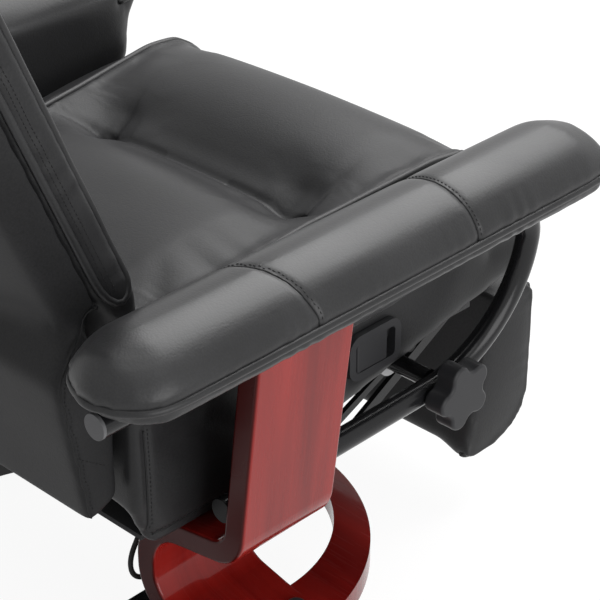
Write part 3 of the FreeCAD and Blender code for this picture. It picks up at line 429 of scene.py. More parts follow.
def finish(name):
    """The named finish, made when it is first asked for."""
    if name in bpy.data.materials:
        return bpy.data.materials[name]
    tint = colours()
    makers = {
        "leather": lambda: leather_finish(name, 0.38, 0.48, 0.20, 0.21),
        "leather_taut": lambda: leather_finish(name, 0.42, 0.52, 0.16, 0.13),
        "welt": lambda: leather_finish(name, 0.36, 0.46, 0.10, 0.30),
        "leather_arm": lambda: leather_finish(name, 0.35, 0.44, 0.20, 0.34),
        "ply": lambda: ply_finish(name),
        "powder_coat": lambda: speckled_finish(name, tint.steel_black, 0.16, 0.26, 0.05),
        "zinc": lambda: speckled_finish(name, tint.steel_bright, 0.22, 0.38, 0.05, metallic=1.0),
        "moulded_black": lambda: speckled_finish(name, tint.plastic_black, 0.38, 0.52, 0.18),
        "tube_plug": lambda: plug_finish(name),
        "moulded_pale": lambda: speckled_finish(name, tint.plastic_pale, 0.30, 0.42, 0.08),
        "black_rubber": lambda: speckled_finish(name, (0.020, 0.020, 0.020), 0.60, 0.75, 0.15),
        "sewing_thread": lambda: speckled_finish(name, tint.thread, 0.55, 0.70, 0.10, scale=2400.0),
        "dust_cloth": lambda: cloth_finish(name, (0.016, 0.016, 0.017)),
        "raw_board": lambda: board_finish(name),
    }
    return makers[name]()


# Meshes

def cad_form(*names):
    """One merged bmesh of the named CAD nodes."""
    form = bmesh.new()
    for name in names:
        form.from_mesh(NODES[name].data)
    bmesh.ops.remove_doubles(form, verts=form.verts, dist=1e-5)
    return form


def show(form, name, body, material):
    """Makes a bmesh a shown piece of the upholstery that rides on a body."""
    mesh = bpy.data.meshes.new(name)
    form.to_mesh(mesh)
    form.free()
    mesh.shade_smooth()
    mesh.materials.append(finish(material))
    piece = bpy.data.objects.new(name, mesh)
    bpy.context.scene.collection.objects.link(piece)
    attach(piece, body)
    return piece


def bake(piece):
    """Puts what the piece's modifiers give into its own mesh."""
    graph = bpy.context.evaluated_depsgraph_get()
    baked = bpy.data.meshes.new_from_object(piece.evaluated_get(graph))
    former = piece.data
    piece.modifiers.clear()
    piece.data = baked
    bpy.data.meshes.remove(former)
    baked.name = piece.name
    baked.shade_smooth()


def even_grid(piece, grid):
    """Remeshes a piece to even faces."""
    remesh = piece.modifiers.new("Even grid", "REMESH")
    remesh.mode = "VOXEL"
    remesh.voxel_size = grid
    bake(piece)


def close_clefts(piece, grid, reach):
    """Remeshes a piece and fills its clefts that are narrower than twice the reach."""
    even_grid(piece, grid)
    draw_in(piece, -reach)
    even_grid(piece, grid)
    draw_in(piece, reach)


def refine(piece):
    """Subdivides a piece once."""
    finer = piece.modifiers.new("Finer", "SUBSURF")
    finer.levels = 1
    finer.render_levels = 1
    bake(piece)


def soften(piece, rounds, chosen=None):
    """Evens out a piece's surface, or only the chosen points of it."""
    form = bmesh.new()
    form.from_mesh(piece.data)
    form.verts.ensure_lookup_table()
    moved = form.verts if chosen is None else [form.verts[index] for index in chosen]
    for turn in range(rounds):
        bmesh.ops.smooth_vert(form, verts=moved, factor=0.5,
                              use_axis_x=True, use_axis_y=True, use_axis_z=True)
    form.to_mesh(piece.data)
    form.free()


def places(piece):
    """The piece's points as an array."""
    found = numpy.empty(len(piece.data.vertices) * 3)
    piece.data.vertices.foreach_get("co", found)
    return found.reshape(-1, 3)


def outward(piece):
    """The piece's normals at its points as an array."""
    found = numpy.empty(len(piece.data.vertices) * 3)
    piece.data.vertices.foreach_get("normal", found)
    return found.reshape(-1, 3)


def put(piece, points):
    """Moves the piece's points."""
    piece.data.vertices.foreach_set("co", points.ravel())
    piece.data.update()


def resample(line, step):
    """A line of points at even steps."""
    spots = [line[0].copy()]
    spare = 0.0
    for start, end in zip(line, line[1:]):
        run = (end - start).length
        reach = step - spare
        while reach <= run:
            spots.append(start.lerp(end, reach / run))
            reach += step
        spare = run - (reach - step)
    return spots


def close_to(points, line, reach):
    """Which points are near a line, how far from it, and how far along it they are from 0 to 1."""
    spots = numpy.array([tuple(spot) for spot in resample(line, 0.002)])
    low = spots.min(axis=0) - reach
    high = spots.max(axis=0) + reach
    inside = numpy.nonzero(numpy.all((points > low) & (points < high), axis=1))[0]
    if len(inside) == 0:
        return inside, numpy.zeros(0), numpy.zeros(0)
    gaps = numpy.full(len(inside), 1e9)
    shares = numpy.zeros(len(inside))
    for index, spot in enumerate(spots):
        gap = numpy.linalg.norm(points[inside] - spot, axis=1)
        nearer = gap < gaps
        gaps[nearer] = gap[nearer]
        shares[nearer] = index / max(1, len(spots) - 1)
    near = gaps < reach
    return inside[near], gaps[near], shares[near]


def press(piece, line, depth, width, fade=0.0):
    """Presses a soft groove into a piece along a line, fading towards the line's end."""
    points = places(piece)
    near, gaps, shares = close_to(points, line, 3 * width)
    push = depth * numpy.exp(-(gaps / width) ** 2) * (1 - shares) ** fade
    points[near] -= outward(piece)[near] * push[:, None]
    put(piece, points)


def pucker(piece, line, depth, reach, pitch):
    """Small gathers beside a sewn line."""
    points = places(piece)
    near, gaps, shares = close_to(points, line, 4 * reach)
    length = sum((end - start).length for start, end in zip(line, line[1:]))
    turns = shares * length / pitch
    wave = 0.5 - 0.5 * numpy.cos(2 * math.pi * (turns + 0.4 * numpy.sin(1.7 * turns)))
    uneven = 0.55 + 0.45 * numpy.sin(0.61 * turns + 0.8)
    profile = gaps / reach * numpy.exp(1 - gaps / reach)
    points[near] -= outward(piece)[near] * (depth * wave * uneven * profile)[:, None]
    put(piece, points)


def pull_level(piece, rays, start_y, end_y, reach):
    """Lifts or lowers the skin round a line so that the line is straight between two depths."""
    now = meet(surface(piece), rays)
    spots = numpy.array([tuple(spot) for spot in now])
    flat = (spots[:, 1] < start_y) & (spots[:, 1] > end_y)
    slope, height = numpy.polyfit(spots[flat, 1], spots[flat, 2], 1)
    lift = numpy.where(flat, slope * spots[:, 1] + height - spots[:, 2], 0.0)
    order = numpy.arange(len(spots))
    last = numpy.nonzero(flat)[0][-1]
    fade_out = 12
    fading = numpy.clip(1 - (order - last) / fade_out, 0, 1)
    lift = numpy.where(order > last, lift[last] * fading, lift)
    steps = numpy.linalg.norm(numpy.diff(spots, axis=0), axis=1)
    runs = numpy.concatenate(([0.0], numpy.cumsum(steps)))
    points = places(piece)
    near, gaps, shares = close_to(points, now, reach)
    weight = (1 - (gaps / reach) ** 2) ** 2
    points[near, 2] += weight * numpy.interp(shares, runs / runs[-1], lift)
    put(piece, points)


def swell(piece, held, limit, rounds=20):
    """Fills a piece with air as cloth; held points keep their place and no point moves past the limit."""
    scene = bpy.context.scene
    start = places(piece)
    pinned = piece.vertex_groups.new(name="Held")
    pinned.add([int(index) for index in held], 1.0, "REPLACE")
    filling = piece.modifiers.new("Filling", "CLOTH")
    settings = filling.settings
    settings.quality = 4
    settings.mass = 0.3
    settings.vertex_group_mass = pinned.name
    settings.use_pressure = True
    settings.uniform_pressure_force = soft_sizes().filling
    settings.effector_weights.gravity = 0
    filling.point_cache.frame_start = 1
    filling.point_cache.frame_end = rounds
    for step in range(1, rounds + 1):
        scene.frame_set(step)
    graph = bpy.context.evaluated_depsgraph_get()
    swollen = piece.evaluated_get(graph)
    ended = numpy.empty(len(start) * 3)
    swollen.data.vertices.foreach_get("co", ended)
    piece.modifiers.remove(filling)
    piece.vertex_groups.remove(pinned)
    scene.frame_set(1)
    moved = ended.reshape(-1, 3) - start
    far = numpy.linalg.norm(moved, axis=1)
    keep = limit * numpy.tanh(far / limit) / numpy.maximum(far, 1e-9)
    put(piece, start + moved * keep[:, None])


def draw_in(piece, depth, held=()):
    """Pulls a piece in along its normals, apart from the points that are held."""
    points = places(piece)
    moves = numpy.full(len(points), depth)
    moves[numpy.array(held, dtype=int)] = 0.0
    points -= outward(piece) * moves[:, None]
    put(piece, points)


def surface(piece):
    """The piece's surface for casting rays."""
    return BVHTree.FromObject(piece, bpy.context.evaluated_depsgraph_get())


def meet(skin, rays):
    """Where rays, each a start and a direction, meet a surface."""
    met = []
    for start, way in rays:
        hit = skin.ray_cast(start, way)[0]
        if hit is not None:
            met.append(hit)
    if len(met) < 2:
        raise RuntimeError("a seam line misses its cushion")
    return met


def drape(skin, line, way):
    """Where rays from a line's points along one direction meet a surface."""
    return meet(skin, [(spot, way) for spot in line])


def cling(skin, line):
    """The places on a surface that are nearest to a line's points."""
    return [skin.find_nearest(spot)[0] for spot in line]


def belt_rays(low, high, side, reach, step):
    """Rays at a piece's middle line: round its low end, along one side and round its high end."""
    along = (high - low).normalized()
    runs = max(2, round((high - low).length / step))
    turns = 48
    ways = []
    for turn in range(turns):
        angle = math.pi * turn / turns
        ways.append((low, -side * math.cos(angle) - along * math.sin(angle)))
    for share in range(runs):
        ways.append((low.lerp(high, share / runs), side))
    for turn in range(turns + 1):
        angle = math.pi * turn / turns
        ways.append((high, side * math.cos(angle) + along * math.sin(angle)))
    return [(middle + way * reach, -way) for middle, way in ways]


def ease(line, rounds, closed):
    """Evens out a line of points."""
    spots = [spot.copy() for spot in line]
    count = len(spots)
    for turn in range(rounds):
        former = [spot.copy() for spot in spots]
        for index in range(count):
            if not closed and index in (0, count - 1):
                continue
            spots[index] = (former[index - 1] + former[index] * 2 + former[(index + 1) % count]) / 4
    return spots


def lay_cord(form, line, radius, closed=False):
    """Adds a round cord along a line to a bmesh."""
    curve = bpy.data.curves.new("cord_line", "CURVE")
    curve.dimensions = "3D"
    curve.bevel_depth = radius
    curve.bevel_resolution = 3
    curve.use_fill_caps = not closed
    spline = curve.splines.new("POLY")
    spline.points.add(len(line) - 1)
    for point, spot in zip(spline.points, line):
        point.co = (*spot, 1)
    spline.use_cyclic_u = closed
    holder = bpy.data.objects.new("cord_line", curve)
    bpy.context.scene.collection.objects.link(holder)
    graph = bpy.context.evaluated_depsgraph_get()
    round_cord = bpy.data.meshes.new_from_object(holder.evaluated_get(graph))
    bpy.data.objects.remove(holder)
    bpy.data.curves.remove(curve)
    form.from_mesh(round_cord)
    bpy.data.meshes.remove(round_cord)
    bmesh.ops.remove_doubles(form, verts=form.verts, dist=1e-6)


def piping(name, line, body, closed=False):
    """Welt piping along a line."""
    form = bmesh.new()
    lay_cord(form, line, soft_sizes().piping, closed)
    return show(form, name, body, "welt")


def sew(form, skin, line, offset):
    """Adds a row of stitches to a bmesh, beside a line on a surface."""
    sizes = soft_sizes()
    spots = resample(line, sizes.stitch_pitch)
    for start, end in zip(spots, spots[1:]):
        way = (end - start).normalized()
        spot, normal = skin.find_nearest(start)[:2]
        side = normal.cross(way).normalized()
        spot, normal = skin.find_nearest(spot + side * offset)[:2]
        side = normal.cross(way).normalized()
        ahead = side.cross(normal)
        turn = Matrix((ahead, side, normal)).transposed().to_4x4()
        half = sizes.stitch_thick / 2
        shape = Matrix.Diagonal((sizes.stitch_long / 2, half, half, 1))
        lift = Matrix.Translation(spot + normal * half * 0.5)
        bmesh.ops.create_icosphere(form, subdivisions=1, radius=1.0, matrix=lift @ turn @ shape)


def groove(piece, line):
    """Presses a flat seam's groove into a piece."""
    sizes = soft_sizes()
    press(piece, line, sizes.seam_deep, sizes.seam_wide)


def sew_seam(form, skin, line):
    """Adds a flat seam to a bmesh: the line between its two edges and a row of stitches beside it."""
    sizes = soft_sizes()
    lay_cord(form, cling(skin, line), sizes.stitch_thick)
    sew(form, skin, line, sizes.stitch_offset)


def straight(start, end, step=0.004):
    """Points along a straight line."""
    count = max(2, round((end - start).length / step))
    return [start.lerp(end, index / count) for index in range(count + 1)]


def paint(material, *names):
    """Gives CAD nodes a finish."""
    for name in names:
        node = NODES[name]
        if not node.material_slots:
            node.data.materials.append(finish(material))
        for holder in node.material_slots:
            holder.material = finish(material)


# Pieces

class RECLINER_OT_stage(bpy.types.Operator):
    """Sets up the floor, the white surround, the lamps and the camera"""

    bl_idname = "recliner.stage"
    bl_label = "Studio"

    def white_to_camera(self, tree, dim, bright, output):
        """Mixes a shading for the object with a white one for what the camera and reflections see."""
        path = add_node(tree, "ShaderNodeLightPath", -600, 300).outputs
        glossy = add_node(tree, "ShaderNodeMath", -400, 300,
                          {0: path["Is Camera Ray"], 1: path["Is Glossy Ray"]}, operation="MAXIMUM")
        seen = add_node(tree, "ShaderNodeMath", -200, 300,
                        {0: glossy.outputs[0], 1: path["Is Transmission Ray"]}, operation="MAXIMUM")
        mix = add_node(tree, "ShaderNodeMixShader", 0, 200, {"Fac": seen.outputs[0], 1: dim, 2: bright})
        tree.links.new(mix.outputs[0], output)

    def make_sky(self, strength):
        """A white surround that lights softly."""
        world = bpy.data.worlds.new("White surround")
        world.use_nodes = True
        tree = world.node_tree
        white = (1, 1, 1, 1)
        dim = tree.nodes["Background"]
        dim.inputs["Color"].default_value = white
        dim.inputs["Strength"].default_value = strength
        bright = add_node(tree, "ShaderNodeBackground", -200, -100, {"Color": white, "Strength": 1.0})
        output = tree.nodes["World Output"].inputs["Surface"]
        self.white_to_camera(tree, dim.outputs[0], bright.outputs[0], output)
        bpy.context.scene.world = world

    def make_floor(self):
        """A pale floor that keeps a faint shadow."""
        form = bmesh.new()
        bmesh.ops.create_grid(form, x_segments=1, y_segments=1, size=8.0)
        mesh = bpy.data.meshes.new("studio_floor")
        form.to_mesh(mesh)
        form.free()
        floor = bpy.data.objects.new("studio_floor", mesh)
        bpy.context.scene.collection.objects.link(floor)
        material, tree, shader = new_material("studio_floor")[:3]
        shader.inputs["Base Color"].default_value = (0.86, 0.86, 0.86, 1)
        shader.inputs["Roughness"].default_value = 0.9
        shader.inputs["Specular IOR Level"].default_value = 0.0
        glow = add_node(tree, "ShaderNodeEmission", -200, -300, {"Strength": 1.08})
        blend = add_node(tree, "ShaderNodeMixShader", 100, -200,
                         {"Fac": 0.86, 1: shader.outputs[0], 2: glow.outputs[0]})
        output = tree.nodes["Material Output"].inputs["Surface"]
        self.white_to_camera(tree, shader.outputs[0], blend.outputs[0], output)
        mesh.materials.append(material)

    def make_lamp(self, name, place, aim, size, power):
        """A square soft lamp."""
        lamp = bpy.data.lights.new(name, "AREA")
        lamp.shape = "SQUARE"
        lamp.size = size
        lamp.energy = power
        holder = bpy.data.objects.new(name, lamp)
        holder.location = place
        holder.rotation_euler = (aim - place).to_track_quat("-Z", "Y").to_euler()
        bpy.context.scene.collection.objects.link(holder)

    def execute(self, context):
        studio = context.scene.recliner_studio
        context.scene.view_settings.view_transform = "Standard"
        self.make_sky(studio.sky)
        self.make_floor()
        middle = at(0, 0, 450)
        self.make_lamp("top_lamp", at(-300, -200, 2300), middle, 2.2, studio.top_lamp)
        self.make_lamp("side_lamp", at(-1900, 150, 650), middle, 1.2, studio.side_lamp)
        self.make_lamp("front_lamp", at(100, -1250, 1950), middle, 1.7, studio.front_lamp)
        camera = bpy.data.cameras.new("photo_camera")
        camera.lens = studio.lens
        camera.sensor_width = 36.0
        camera.clip_start = 0.05
        holder = bpy.data.objects.new("photo_camera", camera)
        holder.location = Vector(studio.camera_at) + Vector((0, AXIS_Y, 0))
        aim = Vector(studio.camera_aim) + Vector((0, AXIS_Y, 0))
        holder.rotation_euler = (aim - holder.location).to_track_quat("-Z", "Y").to_euler()
        context.scene.collection.objects.link(holder)
        context.scene.camera = holder
        return {"FINISHED"}


class RECLINER_OT_slack_lead(bpy.types.Operator):
    """Hangs the slack lead between its two glands"""

    bl_idname = "recliner.slack_lead"
    bl_label = "Slack lead"

    def execute(self, context):
        thick = soft_sizes().lead_thick
        curve = bpy.data.curves.new("hanging_lead", "CURVE")
        curve.dimensions = "3D"
        curve.bevel_depth = thick / 2
        curve.bevel_resolution = 3
        curve.resolution_u = 16
        curve.use_fill_caps = True
        spline = curve.splines.new("NURBS")
        spline.points.add(len(LEAD_ROUTE) - 1)
        for point, (along, up) in zip(spline.points, LEAD_ROUTE):
            point.co = (*at(LEAD_X, along, SEAT_DATUM + up), 1)
        spline.order_u = 3
        spline.use_endpoint_u = True
        curve.materials.append(finish("black_rubber"))
        lead = bpy.data.objects.new("hanging_lead", curve)
        context.scene.collection.objects.link(lead)
        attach(lead, "seat")
        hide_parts("slack_lead")
        paint("moulded_black", "lead_glands")
        return {"FINISHED"}


class RECLINER_OT_arm_pads(bpy.types.Operator):
    """Upholsters the two arm pads with piping and two stitched seams each"""

    bl_idname = "recliner.arm_pads"
    bl_label = "Arm pads"

    def round_ends(self, pad, low, high, under, welt_z):
        """Rounds both ends in plan and draws the strip below the piping in under them."""
        rear_reach, rear_power = 0.060, 2.1
        front_reach, front_power = 0.040, 3.0
        narrowest = 0.22
        solid_reach = 0.052
        set_back, set_back_reach = 0.008, 0.2
        draw_under = 0.020
        points = places(pad)
        to_rear = high.y - points[:, 1]
        to_front = points[:, 1] - low.y
        depth_in = numpy.minimum(to_rear, to_front) / solid_reach
        now = numpy.interp(depth_in, (0, 0.12, 0.4, 1), (0.62, 0.80, 0.93, 1))
        rear_bow = numpy.clip(1 - to_rear / rear_reach, 0, 1) ** rear_power
        front_bow = numpy.clip(1 - to_front / front_reach, 0, 1) ** front_power
        wanted = numpy.maximum((1 - numpy.maximum(rear_bow, front_bow)) ** 0.5, narrowest)
        middle = (low.x + high.x) / 2
        points[:, 0] = middle + (points[:, 0] - middle) * numpy.minimum(wanted / now, 1.0)
        points[:, 1] -= set_back * numpy.clip(1 - to_rear / set_back_reach, 0, 1)
        depth = numpy.clip((welt_z - points[:, 2]) / (welt_z - under), 0, 1)
        rear = numpy.clip((points[:, 1] - high.y + rear_reach) / rear_reach, 0, 1)
        front = numpy.clip((low.y + rear_reach - points[:, 1]) / rear_reach, 0, 1)
        points[:, 1] += draw_under * depth * (front - rear)
        put(pad, points)

    def hang_apron(self, pad, under):
        """Lets the apron hang lowest beside the sitter and rise to nothing before both ends."""
        points = places(pad)
        along = (points[:, 1] - AXIS_Y) * 1000
        share = numpy.interp(along, (-374, -356, -160, -20, 60, 100), (0, 1, 1.25, 1.25, 1, 0))
        below = points[:, 2] < under
        points[below, 2] = under - (under - points[below, 2]) * share[below]
        put(pad, points)

    def seam_line(self, skin, sign, inner_y, outer_y, low_z, welt_z):
        """A cross seam's line: up the face by the seat, then over the top as far as the piping."""
        inside, face_top, rim, hem = 150, 0.432, 0.012, 0.004
        foot = at(sign * inside, inner_y, 0)
        face = straight(foot + Vector((0, 0, low_z + hem)), foot + Vector((0, 0, face_top)))
        top = straight(at(sign * 266, inner_y, ABOVE), at(sign * 372, outer_y, ABOVE))
        line = drape(skin, face, ACROSS * sign)
        line += [spot for spot in drape(skin, top, DOWN) if spot.z > welt_z + rim]
        beside = at(sign * BESIDE, outer_y, 0)
        start = beside + Vector((0, 0, line[-1].z - 0.003))
        line += drape(skin, straight(start, beside + Vector((0, 0, welt_z + hem))), -ACROSS * sign)
        return ease(line, 3, False)

    def make_pad(self, side, sign):
        """One arm pad, its piping and its stitches."""
        sizes = soft_sizes()
        node = "arm_pad_" + side
        low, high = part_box(node)
        under = low.z + sizes.apron
        welt_z = under + sizes.arm_strip
        pad = show(cad_form(node), "arm_cushion_" + side, "chair_frame", "leather_arm")
        even_grid(pad, sizes.arm_grid)
        self.hang_apron(pad, under)
        self.round_ends(pad, low, high, under, welt_z)
        even_grid(pad, sizes.arm_grid)
        soften(pad, 2)
        points = places(pad)
        inner = numpy.abs(points[:, 0]) < min(abs(low.x), abs(high.x)) + 0.014
        step = inner & (numpy.abs(points[:, 2] - under) < 0.030)
        soften(pad, 8, numpy.nonzero(step)[0])
        points = places(pad)
        belt = numpy.abs(points[:, 2] - welt_z) < sizes.arm_grid * 0.6
        inner &= points[:, 2] < welt_z + 0.010
        held = numpy.nonzero((points[:, 2] < under + 0.004) | belt | inner)[0]
        draw_in(pad, 0.003, held)
        swell(pad, held, sizes.arm_swell)
        soften(pad, 1)
        refine(pad)
        inset = Vector((0, 0.050, 0))
        rear = Vector(((low.x + high.x) / 2, high.y, welt_z)) - inset
        front = Vector(((low.x + high.x) / 2, low.y, welt_z)) + inset
        outer = ACROSS * sign
        rays = belt_rays(front, rear, outer, 0.2, 0.006)
        welt = meet(surface(pad), rays)
        pucker(pad, welt, 0.0008, 0.008, 0.024)
        press(pad, welt, 0.0036, 0.0062)
        seams = []
        for inner_y, outer_y in ((38, 8), (-183, -184)):
            seams.append(self.seam_line(surface(pad), sign, inner_y, outer_y, low.z, welt_z))
        for line in seams:
            groove(pad, line)
        skin = surface(pad)
        welt = ease(meet(skin, rays), 3, False)
        tail = outer * 0.008
        piping("arm_piping_" + side, [welt[0] + tail, *welt, welt[-1] + tail], "chair_frame")
        form = bmesh.new()
        for line in seams:
            sew_seam(form, skin, line)
        show(form, "arm_stitches_" + side, "chair_frame", "sewing_thread")
        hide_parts(node)

    def execute(self, context):
        self.make_pad("left", 1)
        self.make_pad("right", -1)
        return {"FINISHED"}


class RECLINER_OT_seat_cushion(bpy.types.Operator):
    """Upholsters the seat and its box in one skin, with a channel, two tufts, creases and side piping"""

    bl_idname = "recliner.seat_cushion"
    bl_label = "Seat cushion"

    def welt_rays(self, sign):
        """Rays at the piping's line, from the rear of the seat over the front roll."""
        rear_y, roll_y, step = 60, -345, -6
        rear_x, flare, flare_y = 182, 16, -160
        roll_z, roll_turns, turn_degrees, reach = 345, 21, 5.2, 0.2
        rays = []
        for y in range(rear_y, roll_y, step):
            x = sign * (rear_x + flare * max(0.0, (flare_y - y) / (flare_y - roll_y)))
            rays.append((at(x, y, ABOVE), DOWN))
        middle = at(sign * (rear_x + flare), roll_y, roll_z)
        for turn in range(1, roll_turns + 1):
            angle = math.radians(turn * turn_degrees)
            way = Vector((0, -math.sin(angle), math.cos(angle)))
            rays.append((middle + way * reach, -way))
        return rays

    def fill_out(self, cushion):
        """Rounds out the leather over the box's two sides."""
        middle = at(0, -20, 252)
        half_long, half_high = 0.120, 0.050
        side_x, side_blend, bulge = 0.248, 0.006, 0.004
        points = places(cushion)
        outside = numpy.clip((numpy.abs(points[:, 0]) - side_x) / side_blend, 0, 1)
        along = numpy.clip(1 - ((points[:, 1] - middle.y) / half_long) ** 2, 0, 1)
        upright = numpy.clip(1 - ((points[:, 2] - middle.z) / half_high) ** 2, 0, 1)
        points[:, 0] += numpy.sign(points[:, 0]) * bulge * outside * along * upright
        put(cushion, points)

    def crease(self, cushion, start, end, depth, width):
        """Presses a crease that fades out, from above."""
        line = drape(surface(cushion), straight(at(*start, ABOVE), at(*end, ABOVE)), DOWN)
        press(cushion, line, depth, width, fade=1.2)

    def execute(self, context):
        sizes = soft_sizes()
        solids = ("seat_cushion", "seat_side_left", "seat_side_right", "seat_rear_rail", "seat_front_rail")
        wadding_size = (0.514, 0.442, 0.060, 1)
        form = cad_form(*solids)
        wadding = Matrix.Translation(at(0, -110, 312)) @ Matrix.Diagonal(wadding_size)
        bmesh.ops.create_cube(form, size=1.0, matrix=wadding)
        cushion = show(form, "seat_pad", "seat", "leather")
        even_grid(cushion, sizes.seat_grid)
        soften(cushion, 3)
        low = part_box("seat_cushion")[0]
        tuft_y = -200
        tufts = (
            (-138, (-190, -192), (-142, -166), (-146, -290)),
            (125, (181, -165), (111, -136), (137, -296)),
        )
        run = straight(at(tufts[0][0], tuft_y, ABOVE), at(tufts[1][0], tuft_y, ABOVE))
        channel = drape(surface(cushion), run, DOWN)
        points = places(cushion)
        box_top = low.z + 0.042
        held = numpy.nonzero(points[:, 2] < box_top)[0]
        for line in (channel, *[meet(surface(cushion), self.welt_rays(sign)) for sign in (-1, 1)]):
            held = numpy.union1d(held, close_to(points, line, 0.009)[0])
        draw_in(cushion, 0.006, held)
        swell(cushion, held, sizes.seat_swell)
        soften(cushion, 2)
        self.fill_out(cushion)
        refine(cushion)
        for sign in (-1, 1):
            welt = meet(surface(cushion), self.welt_rays(sign))
            pucker(cushion, welt, 0.0018, 0.014, 0.045)
            press(cushion, welt, 0.0028, 0.0045)
        for spot in (channel[0], channel[-1]):
            bowl_wide, rounds, nudge = 0.055, 30, ACROSS * 0.002
            bowl = close_to(places(cushion), [spot - nudge, spot + nudge], bowl_wide)[0]
            soften(cushion, rounds, bowl)
        for depth, width in ((0.013, 0.055), (0.005, 0.012), (0.004, 0.0045)):
            press(cushion, drape(surface(cushion), run, DOWN), depth, width)
        for tuft_x, side_spot, rear_spot, front_spot in tufts:
            root = (tuft_x, tuft_y)
            self.crease(cushion, root, side_spot, 0.005, 0.006)
            self.crease(cushion, root, rear_spot, 0.004, 0.006)
            self.crease(cushion, root, front_spot, 0.004, 0.006)
        for sign in (-1, 1):
            pull_level(cushion, self.welt_rays(sign), at(0, 60, 0).y, at(0, -322, 0).y, 0.070)
        skin = surface(cushion)
        for label, sign in (("right", -1), ("left", 1)):
            piping("seat_piping_" + label, ease(meet(skin, self.welt_rays(sign)), 2, False), "seat")
        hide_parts(*solids)
        return {"FINISHED"}


class RECLINER_OT_seat_box(bpy.types.Operator):
    """Folds and stitches the leather on the seat box's two sides"""

    bl_idname = "recliner.seat_box"
    bl_label = "Seat box"

    def execute(self, context):
        cushion = bpy.data.objects["seat_pad"]
        folds = (((70, 296), (8, 232)), ((30, 300), (-36, 250)), ((-20, 298), (-70, 262)))
        for sign in (-1, 1):
            for start, end in folds:
                run = straight(at(sign * BESIDE, *start), at(sign * BESIDE, *end))
                press(cushion, drape(surface(cushion), run, -ACROSS * sign), 0.0016, 0.012, fade=0.5)
        edges = (((99, 318), (99, 216)), ((94, 212), (-14, 212)))
        form = bmesh.new()
        for sign in (-1, 1):
            for start, end in edges:
                run = straight(at(sign * BESIDE, *start), at(sign * BESIDE, *end))
                line = drape(surface(cushion), run, -ACROSS * sign)
                groove(cushion, line)
                sew_seam(form, surface(cushion), line)
        show(form, "seat_box_stitches", "seat", "sewing_thread")
        return {"FINISHED"}


class RECLINER_OT_back_cushion(bpy.types.Operator):
    """Upholsters the front of the back with cross channels, tufts and a piped band round its edge"""

    bl_idname = "recliner.back_cushion"
    bl_label = "Back cushion"

    def side_rays(self, sign, fore):
        """Rays at one side of the band, upwards from its tip."""
        return [(on_back(sign * BESIDE, up, fore), -ACROSS * sign) for up in range(BAND_TIP, BAND_TOP, 8)]

    def top_rays(self, fore):
        """Rays at the band over the top, from the right side to the left."""
        middle = on_back(0, BAND_TOP, fore)
        turns = 64
        rays = []
        for turn in range(turns + 1):
            angle = math.pi * turn / turns
            way = BACK_UP * math.sin(angle) - ACROSS * math.cos(angle)
            rays.append((middle + way * 0.6, -way))
        return rays

    def tip_rays(self, sign):
        """Rays round the band's slanting lower tip, from its front edge to its rear edge."""
        tip = ((0, -1), (-7, -3), (-11, -8), (-14, -15), (-16, -22))
        rays = []
        for drop, back in tip:
            spot = on_back(sign * BESIDE, BAND_TIP + drop - 6, BAND_FRONT + back)
            rays.append((spot, -ACROSS * sign))
        return rays

    def edge_rays(self, fore):
        """Rays along the whole band at one depth: up the right side, over the top and down the left."""
        return self.side_rays(-1, fore) + self.top_rays(fore) + self.side_rays(1, fore)[::-1]

    def execute(self, context):
        cushion = show(cad_form("back_cushion"), "back_pad", "backrest", "leather")
        even_grid(cushion, soft_sizes().seat_grid)
        soften(cushion, 3)
        skin = surface(cushion)
        channels = []
        for up in (330, 590):
            run = straight(on_back(-150, up, 260), on_back(150, up, 260))
            channels.append(drape(skin, run, -BACK_FORE))
        points = places(cushion)
        fore = (points - numpy.array(BACK_HINGE)) @ numpy.array(BACK_FORE)
        held = numpy.nonzero(fore < 0.001 * BAND_FRONT + 0.004)[0]
        for line in channels:
            held = numpy.union1d(held, close_to(points, line, 0.012)[0])
        draw_in(cushion, 0.005, held)
        swell(cushion, held, soft_sizes().back_swell)
        soften(cushion, 2)
        refine(cushion)
        for line in channels:
            press(cushion, line, 0.008, 0.011)
            pucker(cushion, line, 0.003, 0.020, 0.052)
            for spot in (line[0], line[-1]):
                press(cushion, [spot - ACROSS * 0.003, spot + ACROSS * 0.003], 0.008, 0.011)
        loop = self.edge_rays(BAND_FRONT) + self.tip_rays(1)
        loop += self.edge_rays(BAND_REAR)[::-1] + self.tip_rays(-1)[::-1]
        welt = meet(surface(cushion), loop)
        pucker(cushion, welt, 0.0012, 0.010, 0.034)
        press(cushion, welt, 0.0016, 0.0045)
        skin = surface(cushion)
        piping("back_piping", ease(meet(skin, loop), 3, True), "backrest", closed=True)
        form = bmesh.new()
        for depth in (BAND_REAR + 7, BAND_REAR + 11):
            sew(form, skin, meet(skin, self.edge_rays(depth)), 0.0)
        show(form, "back_band_stitches", "backrest", "sewing_thread")
        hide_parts("back_cushion")
        return {"FINISHED"}


